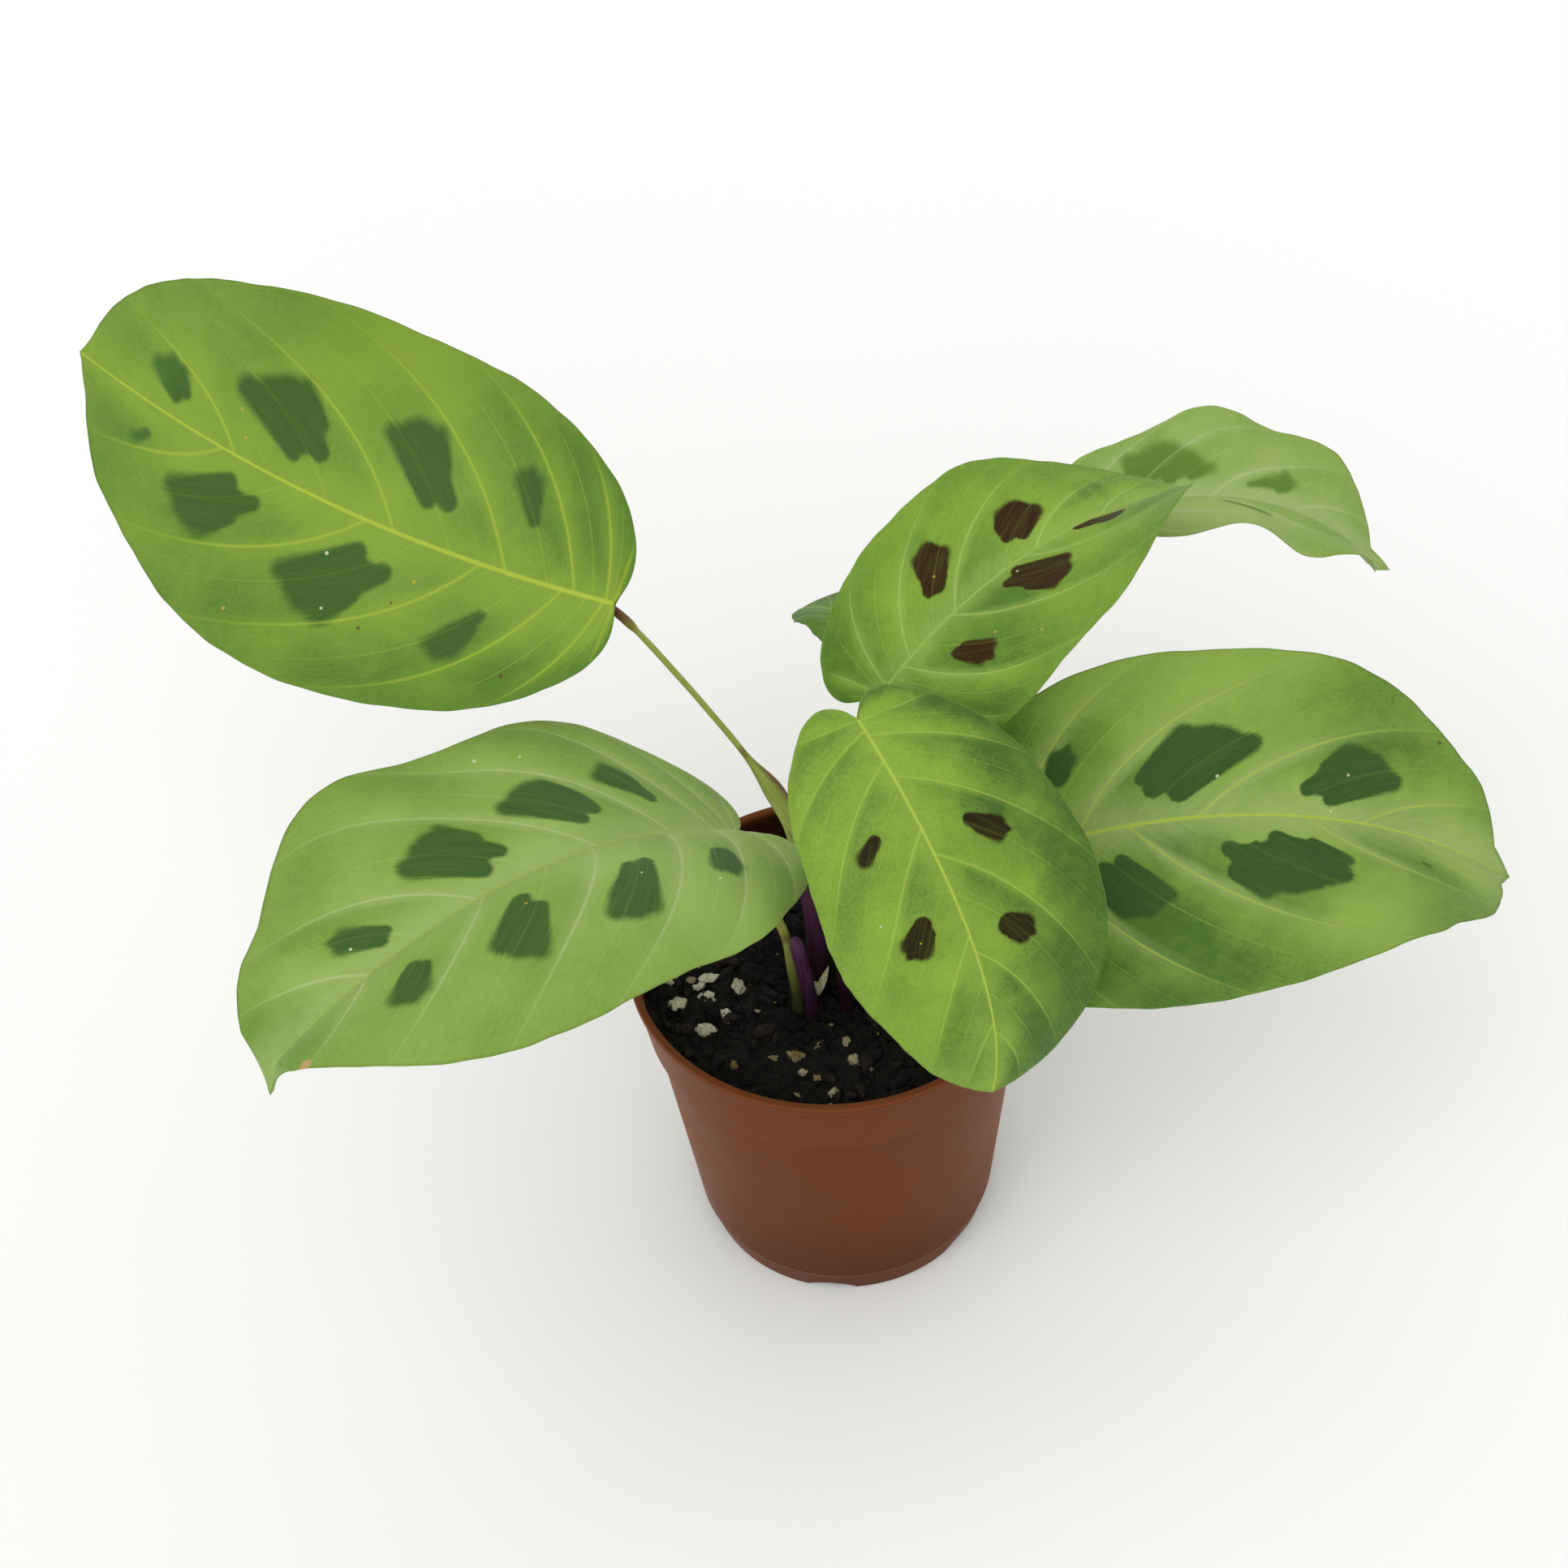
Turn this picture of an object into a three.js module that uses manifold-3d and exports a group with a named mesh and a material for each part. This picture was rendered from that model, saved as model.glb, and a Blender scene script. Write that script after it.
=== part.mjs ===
// A young prayer plant (maranta) in its small round nursery pot: a thin moulded pot with a
// collar, dark soil with perlite, and seven broad oval blades, each on its own slender stalk.
// Millimetres, +Z up, the origin in the middle of the pot's underside, the front towards -Y.

import * as THREE from 'three';
import { mergeVertices } from 'three/addons/utils/BufferGeometryUtils.js';
import Module from 'manifold-3d';

const wasm = await Module();
wasm.setup();

// ---- Driving dimensions -------------------------------------------------------------------

const GAP = 0.3; // clearance between pieces that touch

// Pot
const POT_HEIGHT = 60;
const RIM_RADIUS = 32.5;
const RIM_BEAD_HEIGHT = 1.4;
const RIM_BEAD_PROUD = 0.5; // how far the bead stands out from the collar
const COLLAR_HEIGHT = 12;
const COLLAR_FOOT_RADIUS = 30.6;
const BODY_TOP_RADIUS = 29.6;
const FOOT_LINE_HEIGHT = 5; // where the wall turns in to the foot
const FOOT_LINE_RADIUS = 24.9;
const FOOT_RADIUS = 23.6;
const FOOT_CHAMFER = 0.8;
const WALL = 1.2;
const FLOOR = 2.8;
const EDGE = 0.4; // small slopes that ease the pot's edges and steps
const POT_SIDES = 44;

// Arched drain channels under the rim of the foot, each with a drain hole
const CHANNEL_COUNT = 6;
const CHANNEL_FIRST_ANGLE = -100; // degrees, just left of the front
const CHANNEL_ARCH_RADIUS = 6;
const CHANNEL_DEPTH = 2;
const CHANNEL_INNER_END = 13;
const CHANNEL_SIDES = 20;
const DRAIN_RADIUS = 2.2;
const DRAIN_DISTANCE = 17.5;
const DRAIN_SIDES = 12;

// Soil
const SOIL_LEVEL = 54;
const SOIL_RELIEF = 0.9; // height of its lumps
const SOIL_RINGS = 9;
const SOIL_SIDES = 32;
const GRAIN_RISE = 0.1; // share of a grain's radius that its centre lies above the soil
const HIDDEN_GRAINS = 14; // more of them, strewn over the part of the soil under the blades
const HIDDEN_SECTOR = { from: -40, sweep: 200, inner: 10, outer: 26 }; // degrees and distances
const GRAIN_RADIUS = { smallest: 0.7, spread: 0.8 };
const GRAIN_STRETCH = { least: 0.75, spread: 0.4, flat: 0.85 };
const SEED = 7;

// Perlite on the open, left and front part of the soil: [x, y, radius]
const SEEN_GRAINS = [
  [-25.1, -4.8, 1.5],
  [-20.1, 0.1, 1.2],
  [-20.4, -3.6, 1.2],
  [-15.3, -2.1, 1.3],
  [-17.2, -7.7, 1.2],
  [-20.8, -9.8, 1.4],
  [-26.2, 0.8, 1.2],
  [-10.6, -16.6, 0.8],
  [-7.1, -16.9, 1.5],
  [-6.1, -19.8, 0.9],
  [-4, -21.6, 0.9],
  [-3.2, -15.1, 0.9],
  [1, -15.3, 0.8],
  [-1.7, -24.6, 0.9],
  [4, -20.4, 1],
];

// Stalks
const STALK_SIDES = 8;
const STALK_STEPS = 18;
const HOLE_DEPTH = 10; // of the plain hole that each stalk stands in
const HOLE_SIDES = 12;
const STAND = 4; // height above the soil up to which a stalk rises straight
const PULVINUS_LENGTH = 6; // the thicker joint under each blade
const SEAT_REACH = 1.5; // how far past the blade's base the stalk's end reaches under it
const KNEE_BACK = 3; // the bend before the seat: this far back along the blade's heading
const KNEE_DOWN = 3.5; // and this far below the seat
const SLANTED_END = 0.65; // height of the slanted top end over its middle, in radii
const SHEATH_BLEND = 7; // length over which the sheath narrows into the bare stalk

// Blades
const BLADE_THICKNESS = 0.8;
const RIB_PROUD = 0.7; // the midrib's keel under the blade, at its base
const ROWS = 21; // steps from base to tip, three to each lateral vein
const ROWS_PER_VEIN = 3;
const LANES = 5; // steps from the midrib to the margin
const VEIN_RELIEF = 0.22;
const LANE_POWER = 3; // how strongly the lateral veins start near the base
const LANE_ALONG = 0.32;
const LANE_ACROSS = 0.68;
const LOBE_REACH = 0.35; // radians of the outline over which the basal lobes swell
const DRIP_WIDTH = 4; // width over which the outline runs out into the drip tip

// Each blade: where its midrib starts, the midrib's heading, rise and roll there, and how much
// they change by the tip (bend, droop, twist), in degrees; the outline; how far the drip tip
// reaches past the midrib's end and how much it droops; and for each half its width, its fold
// at the midrib, its curl towards the margin and the height, number and phase of its waves.
// Each stalk: its hole in the soil, the points it passes, its radii and its sheath's top.
const LEAVES = {
  upper_left: {
    tint: '#78a03a',
    base: [-28.5, 17, 121], heading: 157, bend: -21, rise: 3, droop: -8, roll: -18, twist: -43,
    length: 98, drip: 3, lobe: 2, skew: 0.04, fullness: 0.92,
    tip: { reach: 1.9, droop: 0 },
    left: { width: 28, fold: -15, curl: 39, wave: -1.5, waves: 1.7, phase: -30 },
    right: { width: 31.5, fold: -4, curl: 52, wave: 2.2, waves: 1.7, phase: 30 },
    stalk: {
      hole: [-2.4, -3.6],
      route: [[-2.4, -3.2, 64], [-3.1, 0.3, 76], [-5.1, 4.5, 85.5], [-11.5, 9, 96.2]],
      radius: 0.45, pulvinus: 0.7, sheath: 1.5, sheathTop: 96,
    },
  },
  lower_left: {
    tint: '#86ab55',
    base: [-13, -1, 89], heading: 218, bend: 4, rise: 43, droop: 60, roll: 13, twist: 18,
    length: 89, drip: 8, lobe: 5.5, skew: -0.09, fullness: 0.98,
    tip: { reach: 5.6, droop: 50 },
    left: { width: 33.5, fold: 16, curl: -71, wave: 1.3, waves: 1.5, phase: -195 },
    right: { width: 31, fold: 25, curl: -3, wave: 1.8, waves: 2.3, phase: -85 },
    stalk: {
      hole: [-6, -7.6], route: [[-8, -5.5, 73]],
      radius: 0.7, pulvinus: 0.85, sheath: 1, sheathTop: 70,
    },
  },
  front: {
    tint: '#7fae38',
    base: [5.5, -11.5, 121.5], heading: -63, bend: 14, rise: -18, droop: 82, roll: -6, twist: 32,
    length: 66, drip: 1.5, lobe: 5, skew: 0.13, fullness: 1.06,
    tip: { reach: 1.2, droop: 0 },
    left: { width: 23, fold: -3, curl: -11, wave: 2.1, waves: 1.4, phase: 100 },
    right: { width: 19.5, fold: -9, curl: -28, wave: 2.7, waves: 1.5, phase: -80 },
    stalk: {
      hole: [1.6, -7.4], route: [[2.4, -7.5, 80], [4, -6.5, 105]],
      radius: 0.5, pulvinus: 0.7, sheath: 1.2, sheathTop: 88,
    },
  },
  right: {
    tint: '#74a046',
    base: [24.5, -4, 81], heading: 4, bend: 1, rise: 19, droop: 62, roll: 38, twist: -35,
    length: 86, drip: 1.5, lobe: 6, skew: 0.29, fullness: 0.9,
    tip: { reach: 4.7, droop: 0 },
    left: { width: 26.5, fold: 29, curl: 22, wave: 1.4, waves: 2.4, phase: -95 },
    right: { width: 31, fold: 9, curl: 18, wave: 2.7, waves: 1.5, phase: 35 },
    stalk: {
      hole: [4.6, -4.2], route: [[8, -4.2, 65], [15, -3.2, 74]],
      radius: 0.6, pulvinus: 0.85, sheath: 1.1, sheathTop: 66,
    },
  },
  centre: {
    tint: '#88b93c',
    base: [9.5, 8, 106.5], heading: 41, bend: -16, rise: 29, droop: 42, roll: 20, twist: -55,
    length: 60.5, drip: 2.5, lobe: 5.5, skew: 0.12, fullness: 0.91,
    tip: { reach: 1.5, droop: 0 },
    left: { width: 17.5, fold: 14, curl: 30, wave: 1.1, waves: 1.6, phase: 125 },
    right: { width: 24, fold: 10, curl: 9, wave: -1.5, waves: 1.6, phase: 125 },
    stalk: {
      hole: [1.4, -2.6], route: [[3, -1.5, 78], [6, 2.5, 96]],
      radius: 0.5, pulvinus: 0.7, sheath: 1.1, sheathTop: 84,
    },
  },
  far_right: {
    tint: '#93b968',
    base: [40, 50, 98], heading: 11, bend: -9, rise: 23, droop: 80, roll: -10, twist: 12,
    length: 61.5, drip: 1.2, lobe: 4.5, skew: -0.15, fullness: 1.12,
    tip: { reach: 4.7, droop: -24 },
    left: { width: 15, fold: 25, curl: 6, wave: -1.4, waves: 2.7, phase: -178 },
    right: { width: 18, fold: 22, curl: -14, wave: 1.9, waves: 2.9, phase: -2 },
    stalk: {
      hole: [4.4, 0.2], route: [[9, 7, 67], [22, 26, 84]],
      radius: 0.55, pulvinus: 0.75, sheath: 1.1, sheathTop: 72,
    },
  },
  back: {
    tint: '#668f40',
    base: [14.5, 30, 94], heading: 124, bend: 2.5, rise: 5, droop: 46, roll: 6, twist: 2,
    length: 27.5, drip: 0.8, lobe: 2, skew: 0.06, fullness: 0.9,
    tip: { reach: 0.6, droop: 0 },
    left: { width: 6.5, fold: 6, curl: -34, wave: 0.8, waves: 1.7, phase: 30 },
    right: { width: 9, fold: 13, curl: -18, wave: 0.5, waves: 1.7, phase: 15 },
    stalk: {
      hole: [-0.6, 0.8], route: [[2, 7, 70], [9, 20, 84]],
      radius: 0.5, pulvinus: 0.65, sheath: 1, sheathTop: 70,
    },
  },
};

// The violet young shoot, still rolled up, and the pale split bract at the foot of the stalks
const SHOOT_HOLE = [-4.1, -9.3];
const SHOOT_TOP = [-5.8, -7.6, 71.5];
const SHOOT_RADIUS = 1.15;
const SHOOT_TOP_TAPER = 0.6; // its end's radius, as a share
const SHOOT_STEPS = 10;
const BRACT_TIP = [-2.7, -5.6, 54.8];
const BRACT_HEIGHT = 7;
const BRACT_THICKNESS = 0.6;

// ---- Materials ----------------------------------------------------------------------------

function material(color, roughness) {
  return new THREE.MeshStandardMaterial({ color, roughness, metalness: 0 });
}

const POT_PLASTIC = material('#7a4630', 0.55);
const SOIL = material('#17120f', 0.95);
const BLADE_ROUGHNESS = 0.5;
const STALK_GREEN = material('#8c9440', 0.5);
const STALK_PURPLE = material('#4a2438', 0.5);
const SHOOT_VIOLET = material('#4f2f66', 0.5);
const BRACT_PALE = material('#c9c795', 0.6);

// ---- Solids -------------------------------------------------------------------------------

// Only the positions, with shared corners merged, so that the surface is closed.
function weld(geometry) {
  const plain = geometry.clone();
  plain.deleteAttribute('normal');
  plain.deleteAttribute('uv');
  return mergeVertices(plain, 1e-5);
}

function toSolid(geometry) {
  const welded = weld(geometry);
  return new wasm.Manifold(new wasm.Mesh({
    numProp: 3,
    vertProperties: new Float32Array(welded.getAttribute('position').array),
    triVerts: new Uint32Array(welded.getIndex().array),
  }));
}

function toGeometry(solid) {
  const mesh = solid.getMesh();
  const geometry = new THREE.BufferGeometry();
  geometry.setAttribute('position', new THREE.BufferAttribute(mesh.vertProperties, 3));
  geometry.setIndex(new THREE.BufferAttribute(mesh.triVerts, 1));
  return geometry;
}

function makeMesh(name, geometry, meshMaterial) {
  const mesh = new THREE.Mesh(geometry, meshMaterial);
  geometry.computeVertexNormals();
  mesh.name = name;
  return mesh;
}

// A profile of [radius, height] turned about +Z. It starts and ends on the axis.
function turned(profile, sides) {
  const points = profile.map(([radius, height]) => new THREE.Vector2(radius, height));
  return new THREE.LatheGeometry(points, sides).rotateX(Math.PI / 2);
}

// A small generator of repeatable random numbers between 0 and 1.
function randomSource(seed) {
  let state = seed;
  return () => {
    state = (state * 16807) % 2147483647;
    return state / 2147483647;
  };
}

const radians = THREE.MathUtils.degToRad;

// ---- Pot ----------------------------------------------------------------------------------

const collarFoot = POT_HEIGHT - COLLAR_HEIGHT;
const collarTopRadius = RIM_RADIUS - RIM_BEAD_PROUD;
const innerLedge = collarFoot - WALL;

// The radius of the pot's inner wall at a height.
function innerRadius(height) {
  if (height >= collarFoot) {
    const share = (height - collarFoot) / (POT_HEIGHT - collarFoot);
    return COLLAR_FOOT_RADIUS + share * (collarTopRadius - COLLAR_FOOT_RADIUS) - WALL;
  }
  const share = (height - FOOT_LINE_HEIGHT) / (collarFoot - FOOT_LINE_HEIGHT);
  return FOOT_LINE_RADIUS + share * (BODY_TOP_RADIUS - FOOT_LINE_RADIUS) - WALL;
}

function makePot() {
  const beadFoot = POT_HEIGHT - RIM_BEAD_HEIGHT;
  const shell = toSolid(turned([
    [0, 0],
    [FOOT_RADIUS - FOOT_CHAMFER, 0],
    [FOOT_RADIUS, FOOT_CHAMFER],
    [FOOT_LINE_RADIUS - EDGE, FOOT_LINE_HEIGHT],
    [FOOT_LINE_RADIUS, FOOT_LINE_HEIGHT + EDGE],
    [BODY_TOP_RADIUS, collarFoot - EDGE],
    [COLLAR_FOOT_RADIUS, collarFoot],
    [collarTopRadius, beadFoot - EDGE],
    [RIM_RADIUS, beadFoot],
    [RIM_RADIUS, POT_HEIGHT - EDGE],
    [RIM_RADIUS - EDGE, POT_HEIGHT],
    [innerRadius(POT_HEIGHT) + EDGE, POT_HEIGHT],
    [innerRadius(beadFoot), beadFoot],
    [innerRadius(collarFoot), collarFoot],
    [innerRadius(innerLedge), innerLedge],
    [innerRadius(FOOT_LINE_HEIGHT), FOOT_LINE_HEIGHT],
    [FOOT_RADIUS - WALL, FLOOR],
    [0, FLOOR],
  ], POT_SIDES));

  let cutters = null;
  for (let i = 0; i < CHANNEL_COUNT; i++) {
    const angle = radians(CHANNEL_FIRST_ANGLE + (i * 360) / CHANNEL_COUNT);
    const length = RIM_RADIUS - CHANNEL_INNER_END;
    const arch = new THREE.CylinderGeometry(
      CHANNEL_ARCH_RADIUS, CHANNEL_ARCH_RADIUS, length, CHANNEL_SIDES,
    );
    arch.rotateZ(Math.PI / 2);
    arch.translate(CHANNEL_INNER_END + length / 2, 0, CHANNEL_DEPTH - CHANNEL_ARCH_RADIUS);
    arch.rotateZ(angle);
    const drain = new THREE.CylinderGeometry(DRAIN_RADIUS, DRAIN_RADIUS, 4 * FLOOR, DRAIN_SIDES);
    drain.rotateX(Math.PI / 2);
    drain.translate(DRAIN_DISTANCE, 0, 0);
    drain.rotateZ(angle);
    const cutter = toSolid(arch).add(toSolid(drain));
    cutters = cutters ? cutters.add(cutter) : cutter;
  }
  return makeMesh('pot', toGeometry(shell.subtract(cutters)), POT_PLASTIC);
}

// ---- Soil ---------------------------------------------------------------------------------

// The soil's lumpy surface, as a height over the point (x, y).
function soilHeight(x, y) {
  const coarse = Math.sin(0.31 * x + 1.3) * Math.cos(0.27 * y - 0.6);
  const fine = Math.sin(0.83 * x - 0.71 * y + 2.1) + Math.cos(0.64 * x + 0.92 * y);
  const edge = Math.hypot(x, y) / innerRadius(SOIL_LEVEL);
  return SOIL_LEVEL + SOIL_RELIEF * (0.5 * coarse + 0.25 * fine) * (1 - edge ** 4);
}

function makeGrain(x, y, radius, random) {
  const grain = weld(new THREE.IcosahedronGeometry(radius, 0));
  const stretch = GRAIN_STRETCH.least + GRAIN_STRETCH.spread * random();
  grain.scale(1 / stretch, stretch, GRAIN_STRETCH.flat);
  grain.rotateZ(2 * Math.PI * random());
  grain.translate(x, y, soilHeight(x, y) + GRAIN_RISE * radius);
  return toSolid(grain);
}

function makeSoil() {
  const bottom = FLOOR + GAP;
  const edge = innerRadius(SOIL_LEVEL) - GAP;
  const profile = [
    [0, bottom],
    [FOOT_RADIUS - WALL - 2 * GAP, bottom],
    [innerRadius(FOOT_LINE_HEIGHT) - GAP, FOOT_LINE_HEIGHT],
    [innerRadius(innerLedge) - GAP, innerLedge],
    [innerRadius(collarFoot) - 2 * GAP, collarFoot + GAP],
  ];
  for (let ring = 0; ring <= SOIL_RINGS; ring++) {
    profile.push([edge * (1 - ring / SOIL_RINGS), SOIL_LEVEL]);
  }
  const body = weld(turned(profile, SOIL_SIDES));
  const position = body.getAttribute('position');
  for (let i = 0; i < position.count; i++) {
    if (position.getZ(i) > SOIL_LEVEL - GAP) {
      position.setZ(i, soilHeight(position.getX(i), position.getY(i)));
    }
  }

  let soil = toSolid(body);
  const random = randomSource(SEED);
  for (const [x, y, radius] of SEEN_GRAINS) {
    soil = soil.add(makeGrain(x, y, radius, random));
  }
  for (let i = 0; i < HIDDEN_GRAINS; i++) {
    const { from, sweep, inner, outer } = HIDDEN_SECTOR;
    const angle = radians(from + sweep * random());
    const distance = inner + (outer - inner) * Math.sqrt(random());
    const radius = GRAIN_RADIUS.smallest + GRAIN_RADIUS.spread * random();
    soil = soil.add(makeGrain(distance * Math.cos(angle), distance * Math.sin(angle), radius, random));
  }

  const holes = Object.values(LEAVES).map(({ stalk }) => [...stalk.hole, stalk.sheath]);
  holes.push([...SHOOT_HOLE, SHOOT_RADIUS]);
  for (const [x, y, radius] of holes) {
    const hole = new THREE.CylinderGeometry(
      radius + GAP, radius + GAP, HOLE_DEPTH + SOIL_LEVEL, HOLE_SIDES,
    );
    hole.rotateX(Math.PI / 2);
    hole.translate(x, y, SOIL_LEVEL - HOLE_DEPTH + (HOLE_DEPTH + SOIL_LEVEL) / 2);
    soil = soil.subtract(toSolid(hole));
  }
  return makeMesh('soil', toGeometry(soil), SOIL);
}

// ---- Blades -------------------------------------------------------------------------------

const MIDRIB_STEPS = 60;

// The midrib's direction, the blade's side direction and its normal at share s of its length.
function bladeAxes(leaf, s, moreDroop = 0) {
  const heading = radians(leaf.heading + leaf.bend * s);
  const pitch = radians(leaf.rise - leaf.droop * s - moreDroop);
  const roll = radians(leaf.roll + leaf.twist * s);
  const along = new THREE.Vector3(
    Math.cos(pitch) * Math.cos(heading), Math.cos(pitch) * Math.sin(heading), Math.sin(pitch),
  );
  const level = new THREE.Vector3(-Math.sin(heading), Math.cos(heading), 0);
  const upright = new THREE.Vector3().crossVectors(along, level);
  const side = level.clone().multiplyScalar(Math.cos(roll)).addScaledVector(upright, Math.sin(roll));
  const normal = level.multiplyScalar(-Math.sin(roll)).addScaledVector(upright, Math.cos(roll));
  return { along, side, normal };
}

// The midrib as points at even steps, found by adding up its direction.
function midribPoints(leaf) {
  const points = [new THREE.Vector3(...leaf.base)];
  for (let i = 0; i < MIDRIB_STEPS; i++) {
    const { along } = bladeAxes(leaf, (i + 0.5) / MIDRIB_STEPS);
    points.push(points[i].clone().addScaledVector(along, leaf.length / MIDRIB_STEPS));
  }
  return points;
}

// Where a half's margin lies, along the midrib and across it, at share u from base to tip.
function margin(leaf, half, u) {
  const turn = Math.PI * u;
  const across = half.width * Math.sin(turn) ** leaf.fullness * (1 + leaf.skew * Math.cos(turn));
  const lobe = leaf.lobe * (turn / LOBE_REACH) * Math.exp(1 - turn / LOBE_REACH);
  const drip = u > 0.5 ? leaf.drip * Math.exp(-across / DRIP_WIDTH) : 0;
  return [(leaf.length * (1 - Math.cos(turn))) / 2 - lobe + drip, across];
}

// A point of the flat half blade: share v out along the lateral vein that meets the margin at u.
function lanePoint(leaf, half, u, v) {
  const [marginAlong, marginAcross] = margin(leaf, half, u);
  const start = (leaf.length + leaf.drip) * u ** LANE_POWER;
  const kneeAlong = start + LANE_ALONG * (marginAlong - start);
  const kneeAcross = LANE_ACROSS * marginAcross;
  const along = (1 - v) ** 2 * start + 2 * v * (1 - v) * kneeAlong + v * v * marginAlong;
  const across = 2 * v * (1 - v) * kneeAcross + v * v * marginAcross;
  return [along, across];
}

// The flat point folded at the midrib, curled, waved and set on the bent midrib.
function bladePoint(leaf, points, along, across, isLeft) {
  const half = isLeft ? leaf.left : leaf.right;
  const s = THREE.MathUtils.clamp(along / leaf.length, 0, 1.1);
  const { along: direction, side, normal } = bladeAxes(leaf, s);
  const step = Math.min(s, 1) * MIDRIB_STEPS;
  const first = Math.min(Math.floor(step), MIDRIB_STEPS - 1);
  const point = points[first].clone().lerp(points[first + 1], step - first);
  point.addScaledVector(direction, Math.min(along, 0));
  const pastEnd = THREE.MathUtils.clamp((along - leaf.length) / leaf.drip, 0, 1);
  point.addScaledVector(bladeAxes(leaf, 1, leaf.tip.droop).along, pastEnd * leaf.tip.reach);

  const fold = radians(half.fold);
  const curl = radians(half.curl);
  const t = Math.min(across / half.width, 1.2);
  const out = (half.width * (Math.sin(fold + curl * t) - Math.sin(fold))) / curl;
  const wave = half.wave * t * t
    * Math.sin((2 * Math.PI * half.waves * along) / leaf.length + radians(half.phase));
  const lift = (half.width * (Math.cos(fold) - Math.cos(fold + curl * t))) / curl + wave;
  return point.addScaledVector(side, isLeft ? out : -out).addScaledVector(normal, lift);
}

// The grid of middle points: columns run from the right margin over the midrib to the left one.
function bladeGrid(leaf) {
  const points = midribPoints(leaf);
  const grid = [];
  for (let row = 1; row < ROWS; row++) {
    const line = [];
    for (let lane = -LANES; lane <= LANES; lane++) {
      const isLeft = lane > 0;
      const half = isLeft ? leaf.left : leaf.right;
      const [along, across] = lanePoint(leaf, half, row / ROWS, Math.abs(lane) / LANES);
      line.push(bladePoint(leaf, points, along, across, isLeft));
    }
    grid.push(line);
  }
  const tip = bladePoint(leaf, points, leaf.length + leaf.drip, 0, true);
  return { grid, base: points[0], tip };
}

function gridNormal(grid, row, column) {
  const last = grid.length - 1;
  const along = grid[Math.min(row + 1, last)][column].clone().sub(grid[Math.max(row - 1, 0)][column]);
  const line = grid[row];
  const across = line[Math.min(column + 1, 2 * LANES)].clone().sub(line[Math.max(column - 1, 0)]);
  return along.cross(across).normalize();
}

// A blade of even thickness with sunk lateral veins and a keel under its midrib. Both faces are
// split into the same triangles.
function bladeGeometry(leaf) {
  const { grid, base, tip } = bladeGrid(leaf);
  const columns = 2 * LANES + 1;
  const upper = [];
  const lower = [];
  const add = (point, normal, keel) => {
    upper.push(point.clone().addScaledVector(normal, BLADE_THICKNESS / 2));
    lower.push(point.clone().addScaledVector(normal, -BLADE_THICKNESS / 2 - keel));
  };
  add(base, bladeAxes(leaf, 0).normal, RIB_PROUD);
  grid.forEach((line, index) => {
    const row = index + 1;
    line.forEach((point, column) => {
      const normal = gridNormal(grid, index, column);
      const lane = Math.abs(column - LANES) / LANES;
      const ridge = -VEIN_RELIEF * Math.cos((2 * Math.PI * row) / ROWS_PER_VEIN);
      const raised = point.clone().addScaledVector(normal, ridge * Math.sin(Math.PI * lane));
      add(raised, normal, lane === 0 ? RIB_PROUD * (1 - row / ROWS) : 0);
    });
  });
  add(tip, bladeAxes(leaf, 1).normal, 0);

  const tipIndex = upper.length - 1;
  const at = (row, column) => {
    if (row === 0) return 0;
    return row === ROWS ? tipIndex : 1 + (row - 1) * columns + column;
  };
  const faces = [];
  for (let row = 0; row < ROWS; row++) {
    for (let column = 0; column < columns - 1; column++) {
      const a = at(row, column);
      const b = at(row + 1, column);
      const c = at(row + 1, column + 1);
      const d = at(row, column + 1);
      if (b !== c) faces.push([a, b, c]);
      if (a !== d) faces.push([a, c, d]);
    }
  }
  const rim = [];
  for (let row = 0; row <= ROWS; row++) rim.push(at(row, 0));
  for (let row = ROWS - 1; row > 0; row--) rim.push(at(row, columns - 1));

  const under = upper.length;
  const index = [];
  for (const [a, b, c] of faces) {
    index.push(a, b, c, under + a, under + c, under + b);
  }
  rim.forEach((a, i) => {
    const b = rim[(i + 1) % rim.length];
    index.push(under + a, under + b, b, under + a, b, a);
  });
  const geometry = new THREE.BufferGeometry().setFromPoints([...upper, ...lower]);
  geometry.setIndex(index);
  return geometry;
}

// ---- Stalks -------------------------------------------------------------------------------

// A round rod along a curve, with a radius for each height along it: a cylinder's own grid,
// moved onto the curve.
function rodGeometry(curve, steps, radiusAt) {
  const rod = weld(new THREE.CylinderGeometry(1, 1, 1, STALK_SIDES, steps));
  const frames = curve.computeFrenetFrames(steps, false);
  const position = rod.getAttribute('position');
  for (let i = 0; i < position.count; i++) {
    const share = position.getY(i) + 0.5;
    const step = Math.round(share * steps);
    const point = curve.getPointAt(share);
    const radius = radiusAt(share, point);
    point.addScaledVector(frames.normals[step], position.getX(i) * radius);
    point.addScaledVector(frames.binormals[step], -position.getZ(i) * radius);
    position.setXYZ(i, point.x, point.y, point.z);
  }
  return rod;
}

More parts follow.
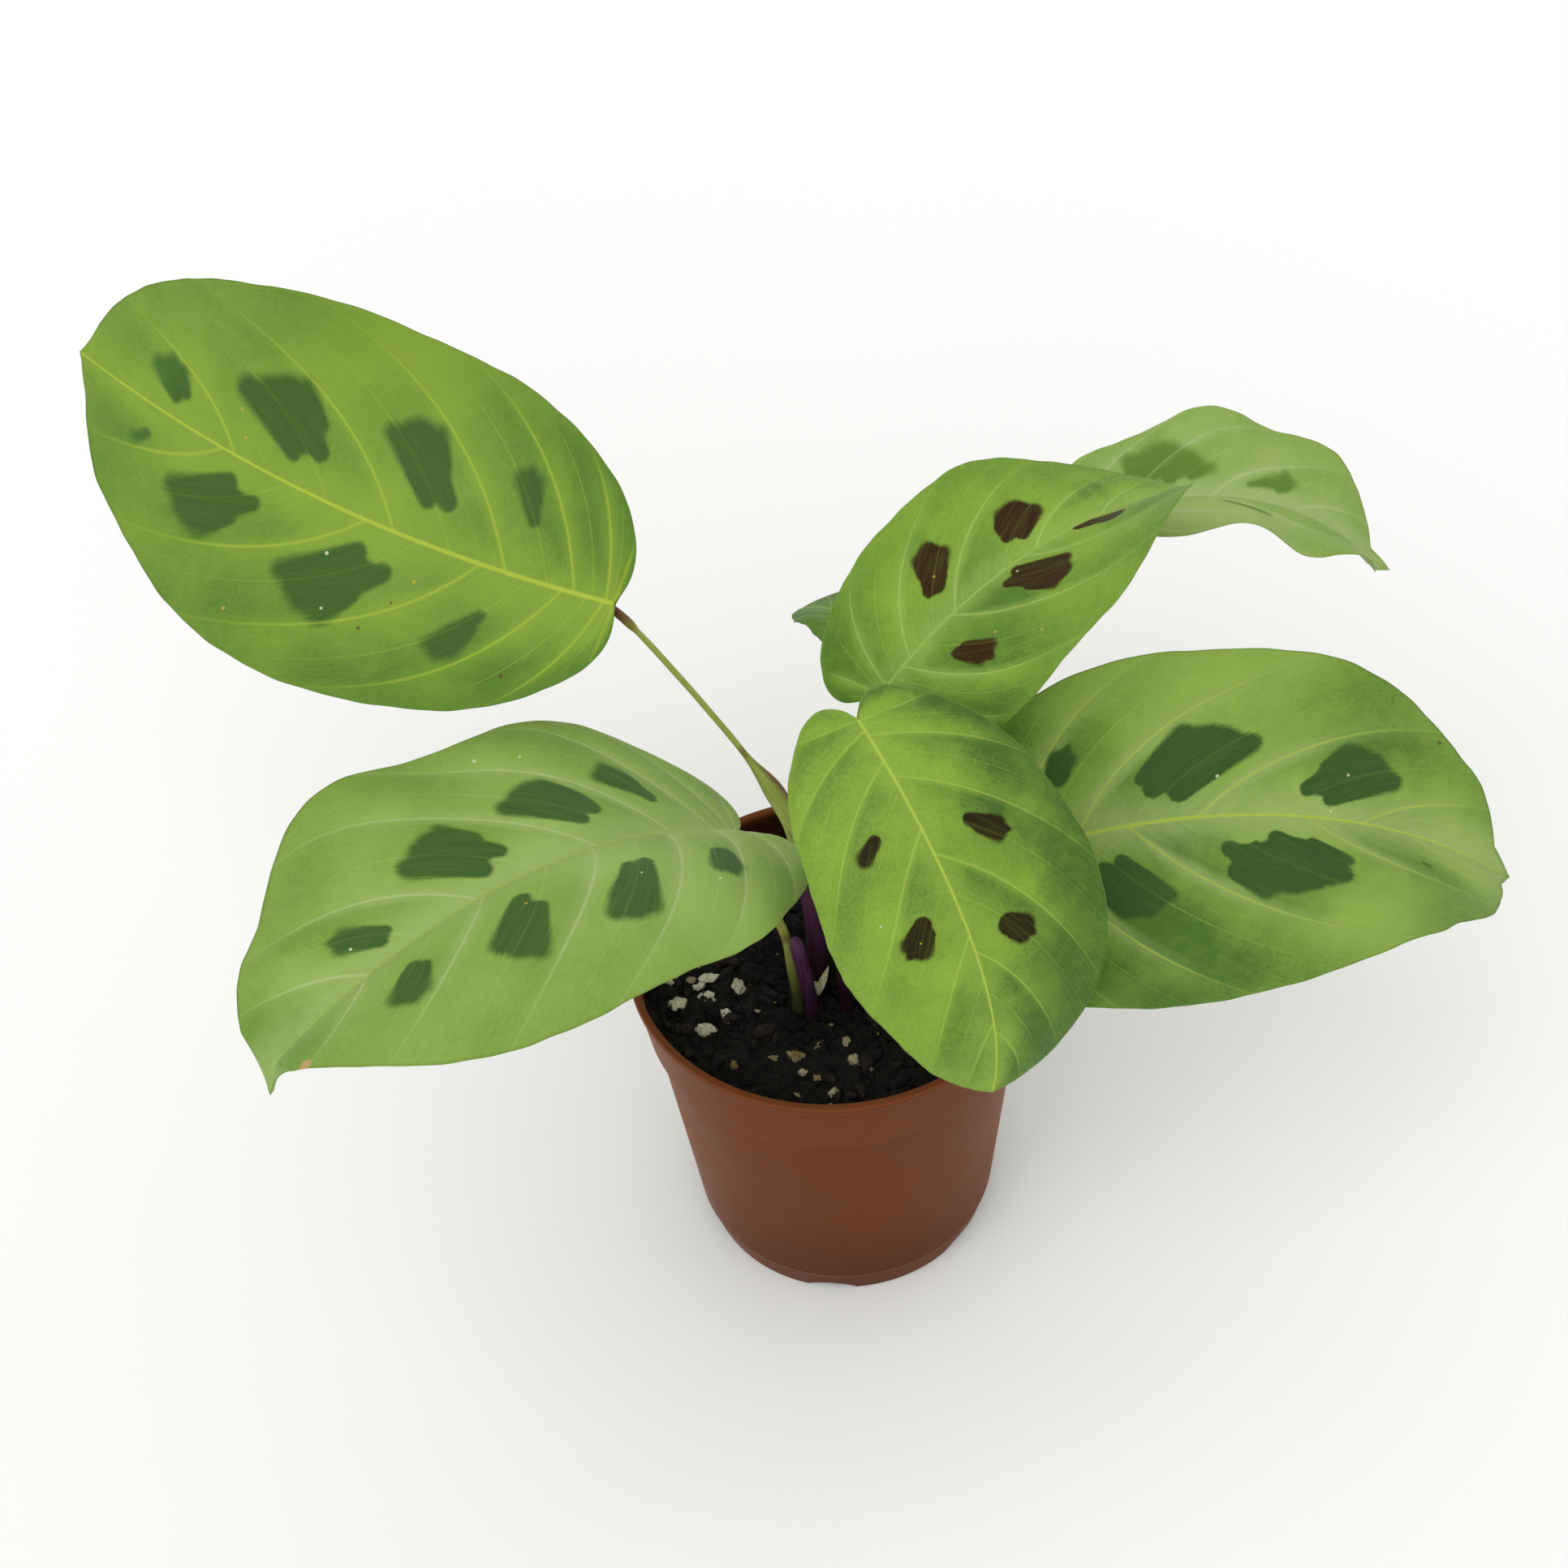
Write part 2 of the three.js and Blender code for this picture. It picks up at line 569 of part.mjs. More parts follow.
// From the foot of its hole, through the points it passes, to its seat under the blade's base.
function stalkGeometry(leaf) {
  const { stalk } = leaf;
  const { along, normal } = bladeAxes(leaf, 0);
  const seat = BLADE_THICKNESS / 2 + RIB_PROUD + GAP + SLANTED_END * stalk.pulvinus;
  const end = new THREE.Vector3(...leaf.base);
  end.addScaledVector(along, SEAT_REACH).addScaledVector(normal, -seat);
  const knee = end.clone().addScaledVector(along, -KNEE_BACK).addScaledVector(normal, -KNEE_DOWN);
  const [x, y] = stalk.hole;
  const curve = new THREE.CatmullRomCurve3([
    new THREE.Vector3(x, y, SOIL_LEVEL - HOLE_DEPTH + GAP),
    new THREE.Vector3(x, y, SOIL_LEVEL),
    new THREE.Vector3(x, y, SOIL_LEVEL + STAND),
    ...stalk.route.map((point) => new THREE.Vector3(...point)),
    knee,
    end,
  ], false, 'centripetal');
  const length = curve.getLength();
  return rodGeometry(curve, STALK_STEPS, (share, point) => {
    if ((1 - share) * length < PULVINUS_LENGTH) return stalk.pulvinus;
    const sheath = THREE.MathUtils.smoothstep(stalk.sheathTop - point.z, 0, SHEATH_BLEND);
    return stalk.radius + sheath * (stalk.sheath - stalk.radius);
  });
}

function makeShoot() {
  const [x, y] = SHOOT_HOLE;
  const curve = new THREE.CatmullRomCurve3([
    new THREE.Vector3(x, y, SOIL_LEVEL - HOLE_DEPTH + GAP),
    new THREE.Vector3(x, y, SOIL_LEVEL),
    new THREE.Vector3(x, y, SOIL_LEVEL + STAND),
    new THREE.Vector3(...SHOOT_TOP),
  ], false, 'centripetal');
  const radiusAt = (share) => SHOOT_RADIUS * (share === 1 ? SHOOT_TOP_TAPER : 1);
  const geometry = rodGeometry(curve, SHOOT_STEPS, radiusAt);
  return makeMesh('young_shoot', geometry, SHOOT_VIOLET);
}

// A small pale plate with a deep split at the top, its point on the soil.
function makeBract() {
  const height = BRACT_HEIGHT;
  const outline = new THREE.Shape();
  outline.moveTo(0, 0);
  outline.quadraticCurveTo(0.22 * height, 0.35 * height, 0.26 * height, height);
  outline.quadraticCurveTo(0.1 * height, 0.7 * height, 0, 0.42 * height);
  outline.quadraticCurveTo(-0.12 * height, 0.5 * height, -0.3 * height, 0.55 * height);
  outline.quadraticCurveTo(-0.15 * height, 0.25 * height, 0, 0);
  const geometry = new THREE.ExtrudeGeometry(outline, {
    depth: BRACT_THICKNESS, bevelEnabled: false, curveSegments: 4,
  });
  geometry.rotateX(Math.PI / 2);
  geometry.translate(...BRACT_TIP);
  return makeMesh('bract', weld(geometry), BRACT_PALE);
}

// ---- Assembly -----------------------------------------------------------------------------

const plant = new THREE.Group();
plant.add(makePot());
plant.add(makeSoil());
for (const [name, leaf] of Object.entries(LEAVES)) {
  const stalkMaterial = name === 'upper_left' ? STALK_PURPLE : STALK_GREEN;
  plant.add(makeMesh(`blade_${name}`, bladeGeometry(leaf), material(leaf.tint, BLADE_ROUGHNESS)));
  plant.add(makeMesh(`stalk_${name}`, stalkGeometry(leaf), stalkMaterial));
}
plant.add(makeShoot());
plant.add(makeBract());

export default plant;
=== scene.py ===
"""A young prayer plant in its nursery pot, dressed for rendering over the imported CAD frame.

The leaf, stalk, pot and soil sizes repeat the CAD source's in millimetres. Meshes are made in
millimetres and scaled to metres as they are stored.
"""

import math
import random
from functools import reduce

import bmesh
import bpy
import numpy as np
from mathutils import Matrix, Vector, noise


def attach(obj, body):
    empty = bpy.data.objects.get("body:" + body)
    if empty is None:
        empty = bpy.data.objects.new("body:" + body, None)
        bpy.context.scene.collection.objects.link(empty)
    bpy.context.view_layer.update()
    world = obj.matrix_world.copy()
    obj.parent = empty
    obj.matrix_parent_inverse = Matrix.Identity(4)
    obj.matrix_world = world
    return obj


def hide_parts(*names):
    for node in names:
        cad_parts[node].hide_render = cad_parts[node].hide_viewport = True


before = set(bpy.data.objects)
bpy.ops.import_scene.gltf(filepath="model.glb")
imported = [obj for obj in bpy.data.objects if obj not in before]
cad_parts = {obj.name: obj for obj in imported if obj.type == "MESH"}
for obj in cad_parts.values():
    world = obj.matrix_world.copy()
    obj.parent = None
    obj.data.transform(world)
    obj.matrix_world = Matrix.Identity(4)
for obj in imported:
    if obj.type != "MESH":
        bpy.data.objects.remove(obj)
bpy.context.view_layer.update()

MM = 0.001
SEED = 11
random.seed(SEED)

# ---- Pot and soil sizes, in millimetres, as in the CAD source ------------------------------

POT_HEIGHT = 60.0
RIM_RADIUS = 32.5
RIM_BEAD_HEIGHT = 1.4
RIM_BEAD_PROUD = 0.5
COLLAR_HEIGHT = 12.0
COLLAR_FOOT = POT_HEIGHT - COLLAR_HEIGHT
COLLAR_TOP_RADIUS = RIM_RADIUS - RIM_BEAD_PROUD
COLLAR_FOOT_RADIUS = 30.6
BODY_TOP_RADIUS = 29.6
FOOT_LINE_HEIGHT = 5.0
FOOT_LINE_RADIUS = 24.9
FOOT_RADIUS = 23.6
FOOT_CHAMFER = 0.8
WALL = 1.2
COLLAR_WALL = 0.8
POT_FLOOR = 2.8
CHANNEL_COUNT = 6
CHANNEL_FIRST_ANGLE = -100.0
CHANNEL_ARCH_RADIUS = 6.0
CHANNEL_DEPTH = 2.0
CHANNEL_INNER_END = 13.0
DRAIN_RADIUS = 2.2
DRAIN_DISTANCE = 17.5
SOIL_LEVEL = 54.0
SOIL_RELIEF = 0.9
HOLE_DEPTH = 10.0
GAP = 0.3
SEEN_GRAINS = (
    (-25.1, -4.8, 1.5), (-20.1, 0.1, 1.2), (-20.4, -3.6, 1.2), (-15.3, -2.1, 1.3),
    (-17.2, -7.7, 1.2), (-20.8, -9.8, 1.4), (-26.2, 0.8, 1.2), (-10.6, -16.6, 0.8),
    (-7.1, -16.9, 1.5), (-6.1, -19.8, 0.9), (-4, -21.6, 0.9), (-3.2, -15.1, 0.9),
    (1, -15.3, 0.8), (-1.7, -24.6, 0.9), (4, -20.4, 1),
)

# ---- Leaf sizes, in millimetres and degrees, as in the CAD source --------------------------

BLADE_THICKNESS = 0.8
RIB_PROUD = 0.7
LANE_POWER = 3
LANE_ALONG = 0.32
LANE_ACROSS = 0.68
LOBE_REACH = 0.35
DRIP_WIDTH = 4.0
MIDRIB_STEPS = 60

# Each blade's pose and outline as in the CAD source; u is a share along the margin from base to
# tip, v a share from midrib to margin. bumps: half, u, width and height in millimetres. veins:
# the u that the side veins reach, main ones and finer ones by turns. spots: each is a row of
# fingers that run together, a finger being (u, v, radius) at its inner end, then at its outer.
LEAVES = {
    "upper_left": dict(
        base=(-28.5, 17, 121), heading=157, bend=-21, rise=3, droop=-8, roll=-18, twist=-43,
        length=98, drip=3, lobe=2, skew=0.04, fullness=0.92, tip_reach=1.9, tip_droop=0,
        left=dict(width=28, fold=-15, curl=39, wave=-1.5, waves=1.7, phase=-30),
        right=dict(width=31.5, fold=-4, curl=52, wave=2.2, waves=1.7, phase=30),
        bumps=(
            ("right", 0.6, 0.15, 0.35), ("right", 0.81, 0.03, 0.5), ("right", 0.9, 0.05, 0.6),
            ("left", 0.82, 0.06, 0.6), ("left", 0.93, 0.025, -0.8),
        ),
        left_veins=(0.1, 0.175, 0.25, 0.345, 0.435, 0.515, 0.6, 0.685, 0.745, 0.822, 0.88),
        right_veins=(0.09, 0.165, 0.235, 0.32, 0.4, 0.475, 0.56, 0.645, 0.715, 0.785, 0.87),
        left_spots=(
            ((0.494, 0.28, 0.9, 0.468, 0.41, 1.3), (0.511, 0.21, 0.9, 0.503, 0.41, 1.2)),
            ((0.64, 0.38, 1.2, 0.613, 0.54, 1.5), (0.664, 0.21, 1.5, 0.648, 0.5, 2.4),
             (0.709, 0.17, 1.4, 0.705, 0.47, 1.5)),
            ((0.79, 0.45, 1, 0.762, 0.66, 0.9), (0.809, 0.27, 1.2, 0.79, 0.62, 1.6),
             (0.842, 0.24, 1.3, 0.834, 0.6, 1.5)),
            ((0.905, 0.48, 0.8, 0.895, 0.64, 0.9),),
        ),
        right_spots=(
            ((0.457, 0.3, 0.9, 0.44, 0.38, 1), (0.476, 0.22, 1, 0.468, 0.37, 1.5)),
            ((0.605, 0.33, 1, 0.583, 0.46, 1.2), (0.625, 0.19, 1.4, 0.612, 0.44, 2),
             (0.656, 0.17, 1.1, 0.655, 0.42, 1.4)),
            ((0.748, 0.38, 1.1, 0.726, 0.56, 1), (0.77, 0.24, 1.4, 0.758, 0.52, 2.2),
             (0.803, 0.19, 1.2, 0.808, 0.5, 2)),
            ((0.896, 0.33, 0.8, 0.882, 0.53, 1.1), (0.91, 0.26, 0.9, 0.904, 0.56, 1.4)),
        ),
    ),
    "lower_left": dict(
        base=(-13, -1, 89), heading=218, bend=4, rise=43, droop=60, roll=13, twist=18,
        length=89, drip=8, lobe=5.5, skew=-0.09, fullness=0.98, tip_reach=5.6, tip_droop=50,
        left=dict(width=33.5, fold=16, curl=-71, wave=1.3, waves=1.5, phase=-195),
        right=dict(width=31, fold=25, curl=-3, wave=1.8, waves=2.3, phase=-85),
        bumps=(
            ("right", 0.57, 0.05, 0.3), ("right", 0.76, 0.07, -2.2), ("right", 0.93, 0.04, 0.8),
            ("left", 0.7, 0.12, 0.5),
        ),
        left_veins=(
            0.12, 0.2, 0.28, 0.36, 0.44, 0.505, 0.57, 0.635, 0.69, 0.745, 0.81, 0.85, 0.905,
        ),
        right_veins=(
            0.1, 0.175, 0.25, 0.33, 0.395, 0.47, 0.545, 0.625, 0.68, 0.757, 0.815, 0.865,
            0.905,
        ),
        left_spots=(
            ((0.478, 0.33, 1.3, 0.46, 0.41, 1.3), (0.5, 0.31, 0.9, 0.503, 0.41, 1.2)),
            ((0.626, 0.31, 1.1, 0.608, 0.56, 1.9), (0.648, 0.31, 0.9, 0.645, 0.58, 1.3)),
            ((0.742, 0.42, 1.3, 0.716, 0.66, 1.4), (0.765, 0.31, 1.2, 0.758, 0.58, 2)),
            ((0.838, 0.5, 0.9, 0.826, 0.66, 1.1), (0.852, 0.45, 0.9, 0.845, 0.68, 1.4)),
        ),
        right_spots=(
            ((0.46, 0.27, 0.9, 0.45, 0.34, 0.9), (0.478, 0.18, 1.1, 0.472, 0.34, 1.7),
             (0.496, 0.25, 0.8, 0.504, 0.33, 1)),
            ((0.585, 0.25, 1.1, 0.574, 0.39, 1.1), (0.602, 0.19, 1.6, 0.598, 0.37, 2.2),
             (0.638, 0.15, 1.2, 0.651, 0.36, 1.5)),
            ((0.722, 0.32, 1.2, 0.708, 0.46, 1), (0.742, 0.19, 1.4, 0.736, 0.42, 1.8),
             (0.775, 0.15, 1.6, 0.777, 0.4, 1.9)),
            ((0.861, 0.22, 0.9, 0.855, 0.47, 0.9), (0.873, 0.17, 0.8, 0.875, 0.4, 1.2)),
        ),
    ),
    "front": dict(
        base=(5.5, -11.5, 121.5), heading=-63, bend=14, rise=-18, droop=82, roll=-6, twist=32,
        length=66, drip=1.5, lobe=5, skew=0.13, fullness=1.06, tip_reach=1.2, tip_droop=0,
        left=dict(width=23, fold=-3, curl=-11, wave=2.1, waves=1.4, phase=100),
        right=dict(width=19.5, fold=-9, curl=-28, wave=2.7, waves=1.5, phase=-80),
        bumps=(("left", 0.9, 0.06, -0.6),),
        left_veins=(0.17, 0.26, 0.35, 0.44, 0.525, 0.61, 0.69, 0.75, 0.825, 0.875, 0.92),
        right_veins=(0.15, 0.235, 0.31, 0.39, 0.475, 0.56, 0.645, 0.727, 0.805, 0.86, 0.91),
        left_spots=(
            ((0.602, 0.26, 0.9, 0.585, 0.42, 1.2), (0.612, 0.3, 0.8, 0.606, 0.4, 1.3)),
            ((0.752, 0.34, 1.2, 0.738, 0.46, 1.5), (0.764, 0.31, 1, 0.757, 0.43, 1.3)),
        ),
        right_spots=(
            ((0.547, 0.29, 0.9, 0.533, 0.4, 1.2),),
            ((0.705, 0.32, 1.2, 0.691, 0.46, 1.5), (0.724, 0.32, 0.9, 0.718, 0.42, 1.5)),
        ),
    ),
    "right": dict(
        base=(24.5, -4, 81), heading=4, bend=1, rise=19, droop=62, roll=38, twist=-35,
        length=86, drip=1.5, lobe=6, skew=0.29, fullness=0.9, tip_reach=4.7, tip_droop=0,
        left=dict(width=26.5, fold=29, curl=22, wave=1.4, waves=2.4, phase=-95),
        right=dict(width=31, fold=9, curl=18, wave=2.7, waves=1.5, phase=35),
        bumps=(
            ("left", 0.55, 0.15, -0.3), ("left", 0.83, 0.06, 0.8), ("right", 0.55, 0.12, 0.4),
            ("right", 0.66, 0.02, 0.4), ("right", 0.7, 0.02, -0.3), ("right", 0.8, 0.04, 0.8),
        ),
        left_veins=(0.12, 0.185, 0.25, 0.32, 0.39, 0.47, 0.545, 0.645, 0.72, 0.803, 0.88, 0.94),
        right_veins=(0.13, 0.21, 0.29, 0.37, 0.445, 0.55, 0.63, 0.727, 0.83, 0.885, 0.92),
        left_spots=(
            ((0.42, 0.33, 0.9, 0.41, 0.41, 1), (0.445, 0.28, 0.9, 0.44, 0.38, 1)),
            ((0.592, 0.24, 1, 0.575, 0.48, 1.3), (0.622, 0.19, 1.5, 0.62, 0.46, 1.6),
             (0.664, 0.16, 1.5, 0.664, 0.47, 1.6)),
            ((0.765, 0.45, 0.9, 0.745, 0.6, 1), (0.79, 0.26, 1.2, 0.77, 0.57, 1.9),
             (0.824, 0.21, 1.1, 0.825, 0.56, 1.4)),
        ),
        right_spots=(
            ((0.49, 0.27, 1.2, 0.485, 0.36, 1.3), (0.525, 0.17, 1.4, 0.525, 0.36, 1.7),
             (0.567, 0.15, 1, 0.565, 0.36, 1.2)),
            ((0.668, 0.36, 1.4, 0.655, 0.5, 1.2), (0.701, 0.23, 1.4, 0.694, 0.5, 1.9),
             (0.764, 0.21, 1.5, 0.748, 0.53, 1.9), (0.791, 0.27, 1, 0.786, 0.44, 1.2)),
            ((0.862, 0.55, 0.2, 0.86, 0.6, 0.3),),
        ),
    ),
    "centre": dict(
        base=(9.5, 8, 106.5), heading=41, bend=-16, rise=29, droop=42, roll=20, twist=-55,
        length=60.5, drip=2.5, lobe=5.5, skew=0.12, fullness=0.91, tip_reach=1.5, tip_droop=0,
        left=dict(width=17.5, fold=14, curl=30, wave=1.1, waves=1.6, phase=125),
        right=dict(width=24, fold=10, curl=9, wave=-1.5, waves=1.6, phase=125),
        bumps=(("right", 0.6, 0.15, 0.6), ("right", 0.9, 0.06, -3.4)),
        left_veins=(0.14, 0.23, 0.31, 0.4, 0.49, 0.59, 0.65, 0.755, 0.81, 0.86, 0.9),
        right_veins=(0.15, 0.235, 0.3, 0.38, 0.45, 0.545, 0.64, 0.727, 0.79, 0.85, 0.9),
        left_spots=(
            ((0.556, 0.36, 0.7, 0.534, 0.47, 0.8), (0.58, 0.23, 0.9, 0.564, 0.45, 1.3),
             (0.609, 0.21, 0.8, 0.603, 0.42, 0.9)),
            ((0.72, 0.38, 0.7, 0.702, 0.51, 0.8), (0.744, 0.28, 0.9, 0.728, 0.48, 1.3),
             (0.776, 0.24, 0.9, 0.771, 0.46, 1.2)),
        ),
        right_spots=(
            ((0.519, 0.2, 0.9, 0.502, 0.33, 1.2), (0.542, 0.21, 0.7, 0.535, 0.34, 1.2)),
            ((0.692, 0.31, 0.9, 0.672, 0.46, 0.9), (0.716, 0.15, 1.1, 0.702, 0.43, 1.5),
             (0.752, 0.1, 1.1, 0.746, 0.37, 1.5)),
            ((0.866, 0.09, 1.7, 0.86, 0.35, 2.2),),
        ),
    ),
    "far_right": dict(
        base=(40, 50, 98), heading=11, bend=-9, rise=23, droop=80, roll=-10, twist=12,
        length=61.5, drip=1.2, lobe=4.5, skew=-0.15, fullness=1.12, tip_reach=4.7, tip_droop=-24,
        left=dict(width=15, fold=25, curl=6, wave=-1.4, waves=2.7, phase=-178),
        right=dict(width=18, fold=22, curl=-14, wave=1.9, waves=2.9, phase=-2),
        bumps=(("right", 0.84, 0.07, -1.7),),
        left_veins=(0.15, 0.23, 0.3, 0.375, 0.45, 0.525, 0.6, 0.68, 0.76, 0.82, 0.88),
        right_veins=(0.13, 0.21, 0.29, 0.36, 0.43, 0.51, 0.59, 0.67, 0.74, 0.81, 0.87),
        left_spots=(
            ((0.55, 0.28, 1, 0.5, 0.45, 1.2), (0.6, 0.23, 1.3, 0.562, 0.46, 1.3),
             (0.65, 0.2, 1.2, 0.628, 0.38, 1.2), (0.69, 0.21, 0.8, 0.703, 0.3, 0.7)),
            ((0.79, 0.2, 0.4, 0.797, 0.42, 0.6), (0.828, 0.25, 0.4, 0.818, 0.44, 0.6)),
        ),
        right_spots=(((0.712, 0.29, 1.1, 0.713, 0.45, 1.5),),),
    ),
    "back": dict(
        base=(14.5, 30, 94), heading=124, bend=2.5, rise=5, droop=46, roll=6, twist=2,
        length=27.5, drip=0.8, lobe=2, skew=0.06, fullness=0.9, tip_reach=0.6, tip_droop=0,
        left=dict(width=6.5, fold=6, curl=-34, wave=0.8, waves=1.7, phase=30),
        right=dict(width=9, fold=13, curl=-18, wave=0.5, waves=1.7, phase=15),
        bumps=(),
        left_veins=(0.15, 0.225, 0.3, 0.375, 0.45, 0.525, 0.6, 0.68, 0.75, 0.82, 0.88),
        right_veins=(0.13, 0.2, 0.27, 0.35, 0.43, 0.51, 0.58, 0.66, 0.73, 0.8, 0.87),
        left_spots=(), right_spots=(),
    ),
}

# Each stalk: its hole in the soil, the points it passes, its radii and its sheath's top
STALKS = {
    "upper_left": dict(
        hole=(-2.4, -3.6), radius=0.45, pulvinus=0.7, sheath=1.5, sheath_top=96,
        route=((-2.4, -3.2, 64), (-3.1, 0.3, 76), (-5.1, 4.5, 85.5), (-11.5, 9, 96.2)),
    ),
    "lower_left": dict(
        hole=(-6, -7.6), radius=0.7, pulvinus=0.85, sheath=1, sheath_top=70,
        route=((-8, -5.5, 73),),
    ),
    "front": dict(
        hole=(1.6, -7.4), radius=0.5, pulvinus=0.7, sheath=1.2, sheath_top=88,
        route=((2.4, -7.5, 80), (4, -6.5, 105)),
    ),
    "right": dict(
        hole=(4.6, -4.2), radius=0.6, pulvinus=0.85, sheath=1.1, sheath_top=66,
        route=((8, -4.2, 65), (15, -3.2, 74)),
    ),
    "centre": dict(
        hole=(1.4, -2.6), radius=0.5, pulvinus=0.7, sheath=1.1, sheath_top=84,
        route=((3, -1.5, 78), (6, 2.5, 96)),
    ),
    "far_right": dict(
        hole=(4.4, 0.2), radius=0.55, pulvinus=0.75, sheath=1.1, sheath_top=72,
        route=((9, 7, 67), (22, 26, 84)),
    ),
    "back": dict(
        hole=(-0.6, 0.8), radius=0.5, pulvinus=0.65, sheath=1, sheath_top=70,
        route=((2, 7, 70), (9, 20, 84)),
    ),
}
STAND = 4
PULVINUS_LENGTH = 6
SEAT_REACH = 1.5
KNEE_BACK = 3
KNEE_DOWN = 3.5
SLANTED_END = 0.65
SHEATH_BLEND = 7
SHOOT_HOLE = (-4.1, -9.3)
SHOOT_TOP = (-5.8, -7.6, 71.5)
SHOOT_RADIUS = 1.15
BRACT_TIP = (-2.7, -5.6, 54.8)
BRACT_HEIGHT = 7

# ---- Looks of the pot, the soil and the stems ----------------------------------------------

POT_BROWN = "#562807"
POT_CLOUD = "#5d2d0c"
POT_FOOT_SHADE = "#3d1503"
POT_DUST = "#9a6c4c"
POT_LIP_HIGHLIGHT = "#8a5030"
POT_SOIL_STAIN_AND_SHADE = "#140c09"
POT_SHEEN = "#e89c70"
SOIL_COLOURS = ("#070606", "#191512", "#2c231c")  # damp, drier, and the dust on it
CRUMB_COLOURS = ("#0c0a08", "#2a1e16", "#43351f", "#080605")  # soil, bark, pale bark, hollows
PERLITE_COLOURS = ("#ddd6c0", "#776534", "#5f5140")  # white, stained, pits
SHOOT_COLOURS = ("#341530", "#4e2a4a", "#6c4a68", "#17100f")  # dark, streaks, tip, painted shade at the foot
BRACT_COLOURS = ("#f1eac6", "#cfc894", "#8a3f4d")  # pale, fibres, foot
STALK_STREAKS = "#c3c878"
STALK_FLECKS = "#3a2a1c"
STALK_FOOT_SHADE = "#15100d"
SHEATH_RED = "#6f3a3c"
SHEATH_TOP_BROWN = "#6d4a2c"
PULVINUS_COLOURS = ("#5c2f24", "#7d6238")  # at the blade and away from it

# Each stalk's green and purple, and the heights between which one gives way to the other
STALK_COLOURS = {
    "upper_left": ("#8b9a44", "#47203a", 86.0, 74.0),
    "front": ("#868c42", "#540f3c", 98.0, 84.0),
}
OTHER_STALKS = ("#858a3c", "#5a3a3a", 56.0, 50.0)

# ---- Looks of the blades -------------------------------------------------------------------

UNDERSIDE = "#8c9e68"

# mid, dark, light: the blade between its veins; dark and light also carry painted shade and
# painted light. pale: along the midrib and the main veins, with pale_share its strength and
# pale_width its reach. spot_tip: spots near the tip, where they are unlike the others. swell: how
# far the blade bulges between side veins. shade: how strongly painted shade darkens it past each
# vein and painted light lightens it before the next. half_shade: how far painted shade darkens
# the left and the right half towards the margin. base_shade: the same near the base. fray and
# soft: how the spots' outer ends fray, and the width of their edges. vein_width, midrib_width:
# half widths. Lengths are in millimetres.
LOOKS = {
    "upper_left": dict(
        mid="#76953a", dark="#557a2c", light="#84a038", pale="#8ca737", vein="#a0b53c",
        midrib="#a8bb3e", spot="#3d5d27", spot_tip="#456a2c", edge="#5f8034", swell=0.3,
        shade=0.22, pale_share=0.4, pale_width=9, half_shade=(0.4, 0), base_shade=0.75, fray=1.3,
        soft=0.5, vein_width=0.3, vein_share=0.5, midrib_width=0.42,
    ),
    "lower_left": dict(
        mid="#87a348", dark="#6b8f38", light="#93b056", pale="#9db56c", vein="#b3c285",
        midrib="#9fb64a", spot="#3c5d27", edge="#6f9040", swell=0.4,
        shade=0.2, pale_share=0.6, pale_width=8, half_shade=(0.2, 0.25), base_shade=0, fray=1.1,
        soft=0.38, vein_width=0.26, vein_share=0.45, midrib_width=0.26,
    ),
    "front": dict(
        mid="#7f9f3a", dark="#466828", light="#8cad3c", pale="#93ae46", vein="#a9bc50",
        midrib="#a7bb4a", spot="#211404", edge="#7a9848", swell=0.5,
        shade=0.28, pale_share=0.3, pale_width=4.5, half_shade=(0.8, 0), base_shade=0, fray=0.35,
        soft=0.22, vein_width=0.2, vein_share=0.34, midrib_width=0.28,
    ),
    "right": dict(
        mid="#76963a", dark="#4a6e2a", light="#8eaa4c", pale="#9cb16c", vein="#a9ba50",
        midrib="#a6b942", spot="#375526", edge="#5f8238", swell=0.5,
        shade=0.35, pale_share=0.7, pale_width=8, half_shade=(0, 0.25), base_shade=0.2, fray=0.9,
        soft=0.26, vein_width=0.26, vein_share=0.55, midrib_width=0.36,
    ),
    "centre": dict(
        mid="#7c9e39", dark="#52782c", light="#92b33e", pale="#9ab45a", vein="#aabe60",
        midrib="#97b054", spot="#331b08", spot_tip="#41122a", edge="#6c9038", swell=0.4,
        shade=0.25, pale_share=0.45, pale_width=5, half_shade=(0.15, 0.25), base_shade=0.5, fray=0.35,
        soft=0.22, vein_width=0.2, vein_share=0.45, midrib_width=0.22,
    ),
    "far_right": dict(
        mid="#8ca852", dark="#73953e", light="#9cb365", pale="#a8bc80", vein="#b3c389",
        midrib="#a6bb76", spot="#5c8030", edge="#7a9848", swell=0.35,
        shade=0.25, pale_share=0.6, pale_width=5, half_shade=(0.2, 0.15), base_shade=0, fray=0.8,
        soft=0.5, vein_width=0.24, vein_share=0.35, midrib_width=0.26,
    ),
    "back": dict(
        mid="#5f7e33", dark="#476a28", light="#6e8b3c", pale="#7b944a", vein="#8ba058",
        midrib="#94ab55", spot="#4d6a30", edge="#4a6d2c", swell=0.15,
        shade=0.2, pale_share=0.4, pale_width=2.5, half_shade=(0.3, 0.3), base_shade=0, fray=0.5,
        soft=0.5, vein_width=0.15, vein_share=0.45, midrib_width=0.2,
    ),
}
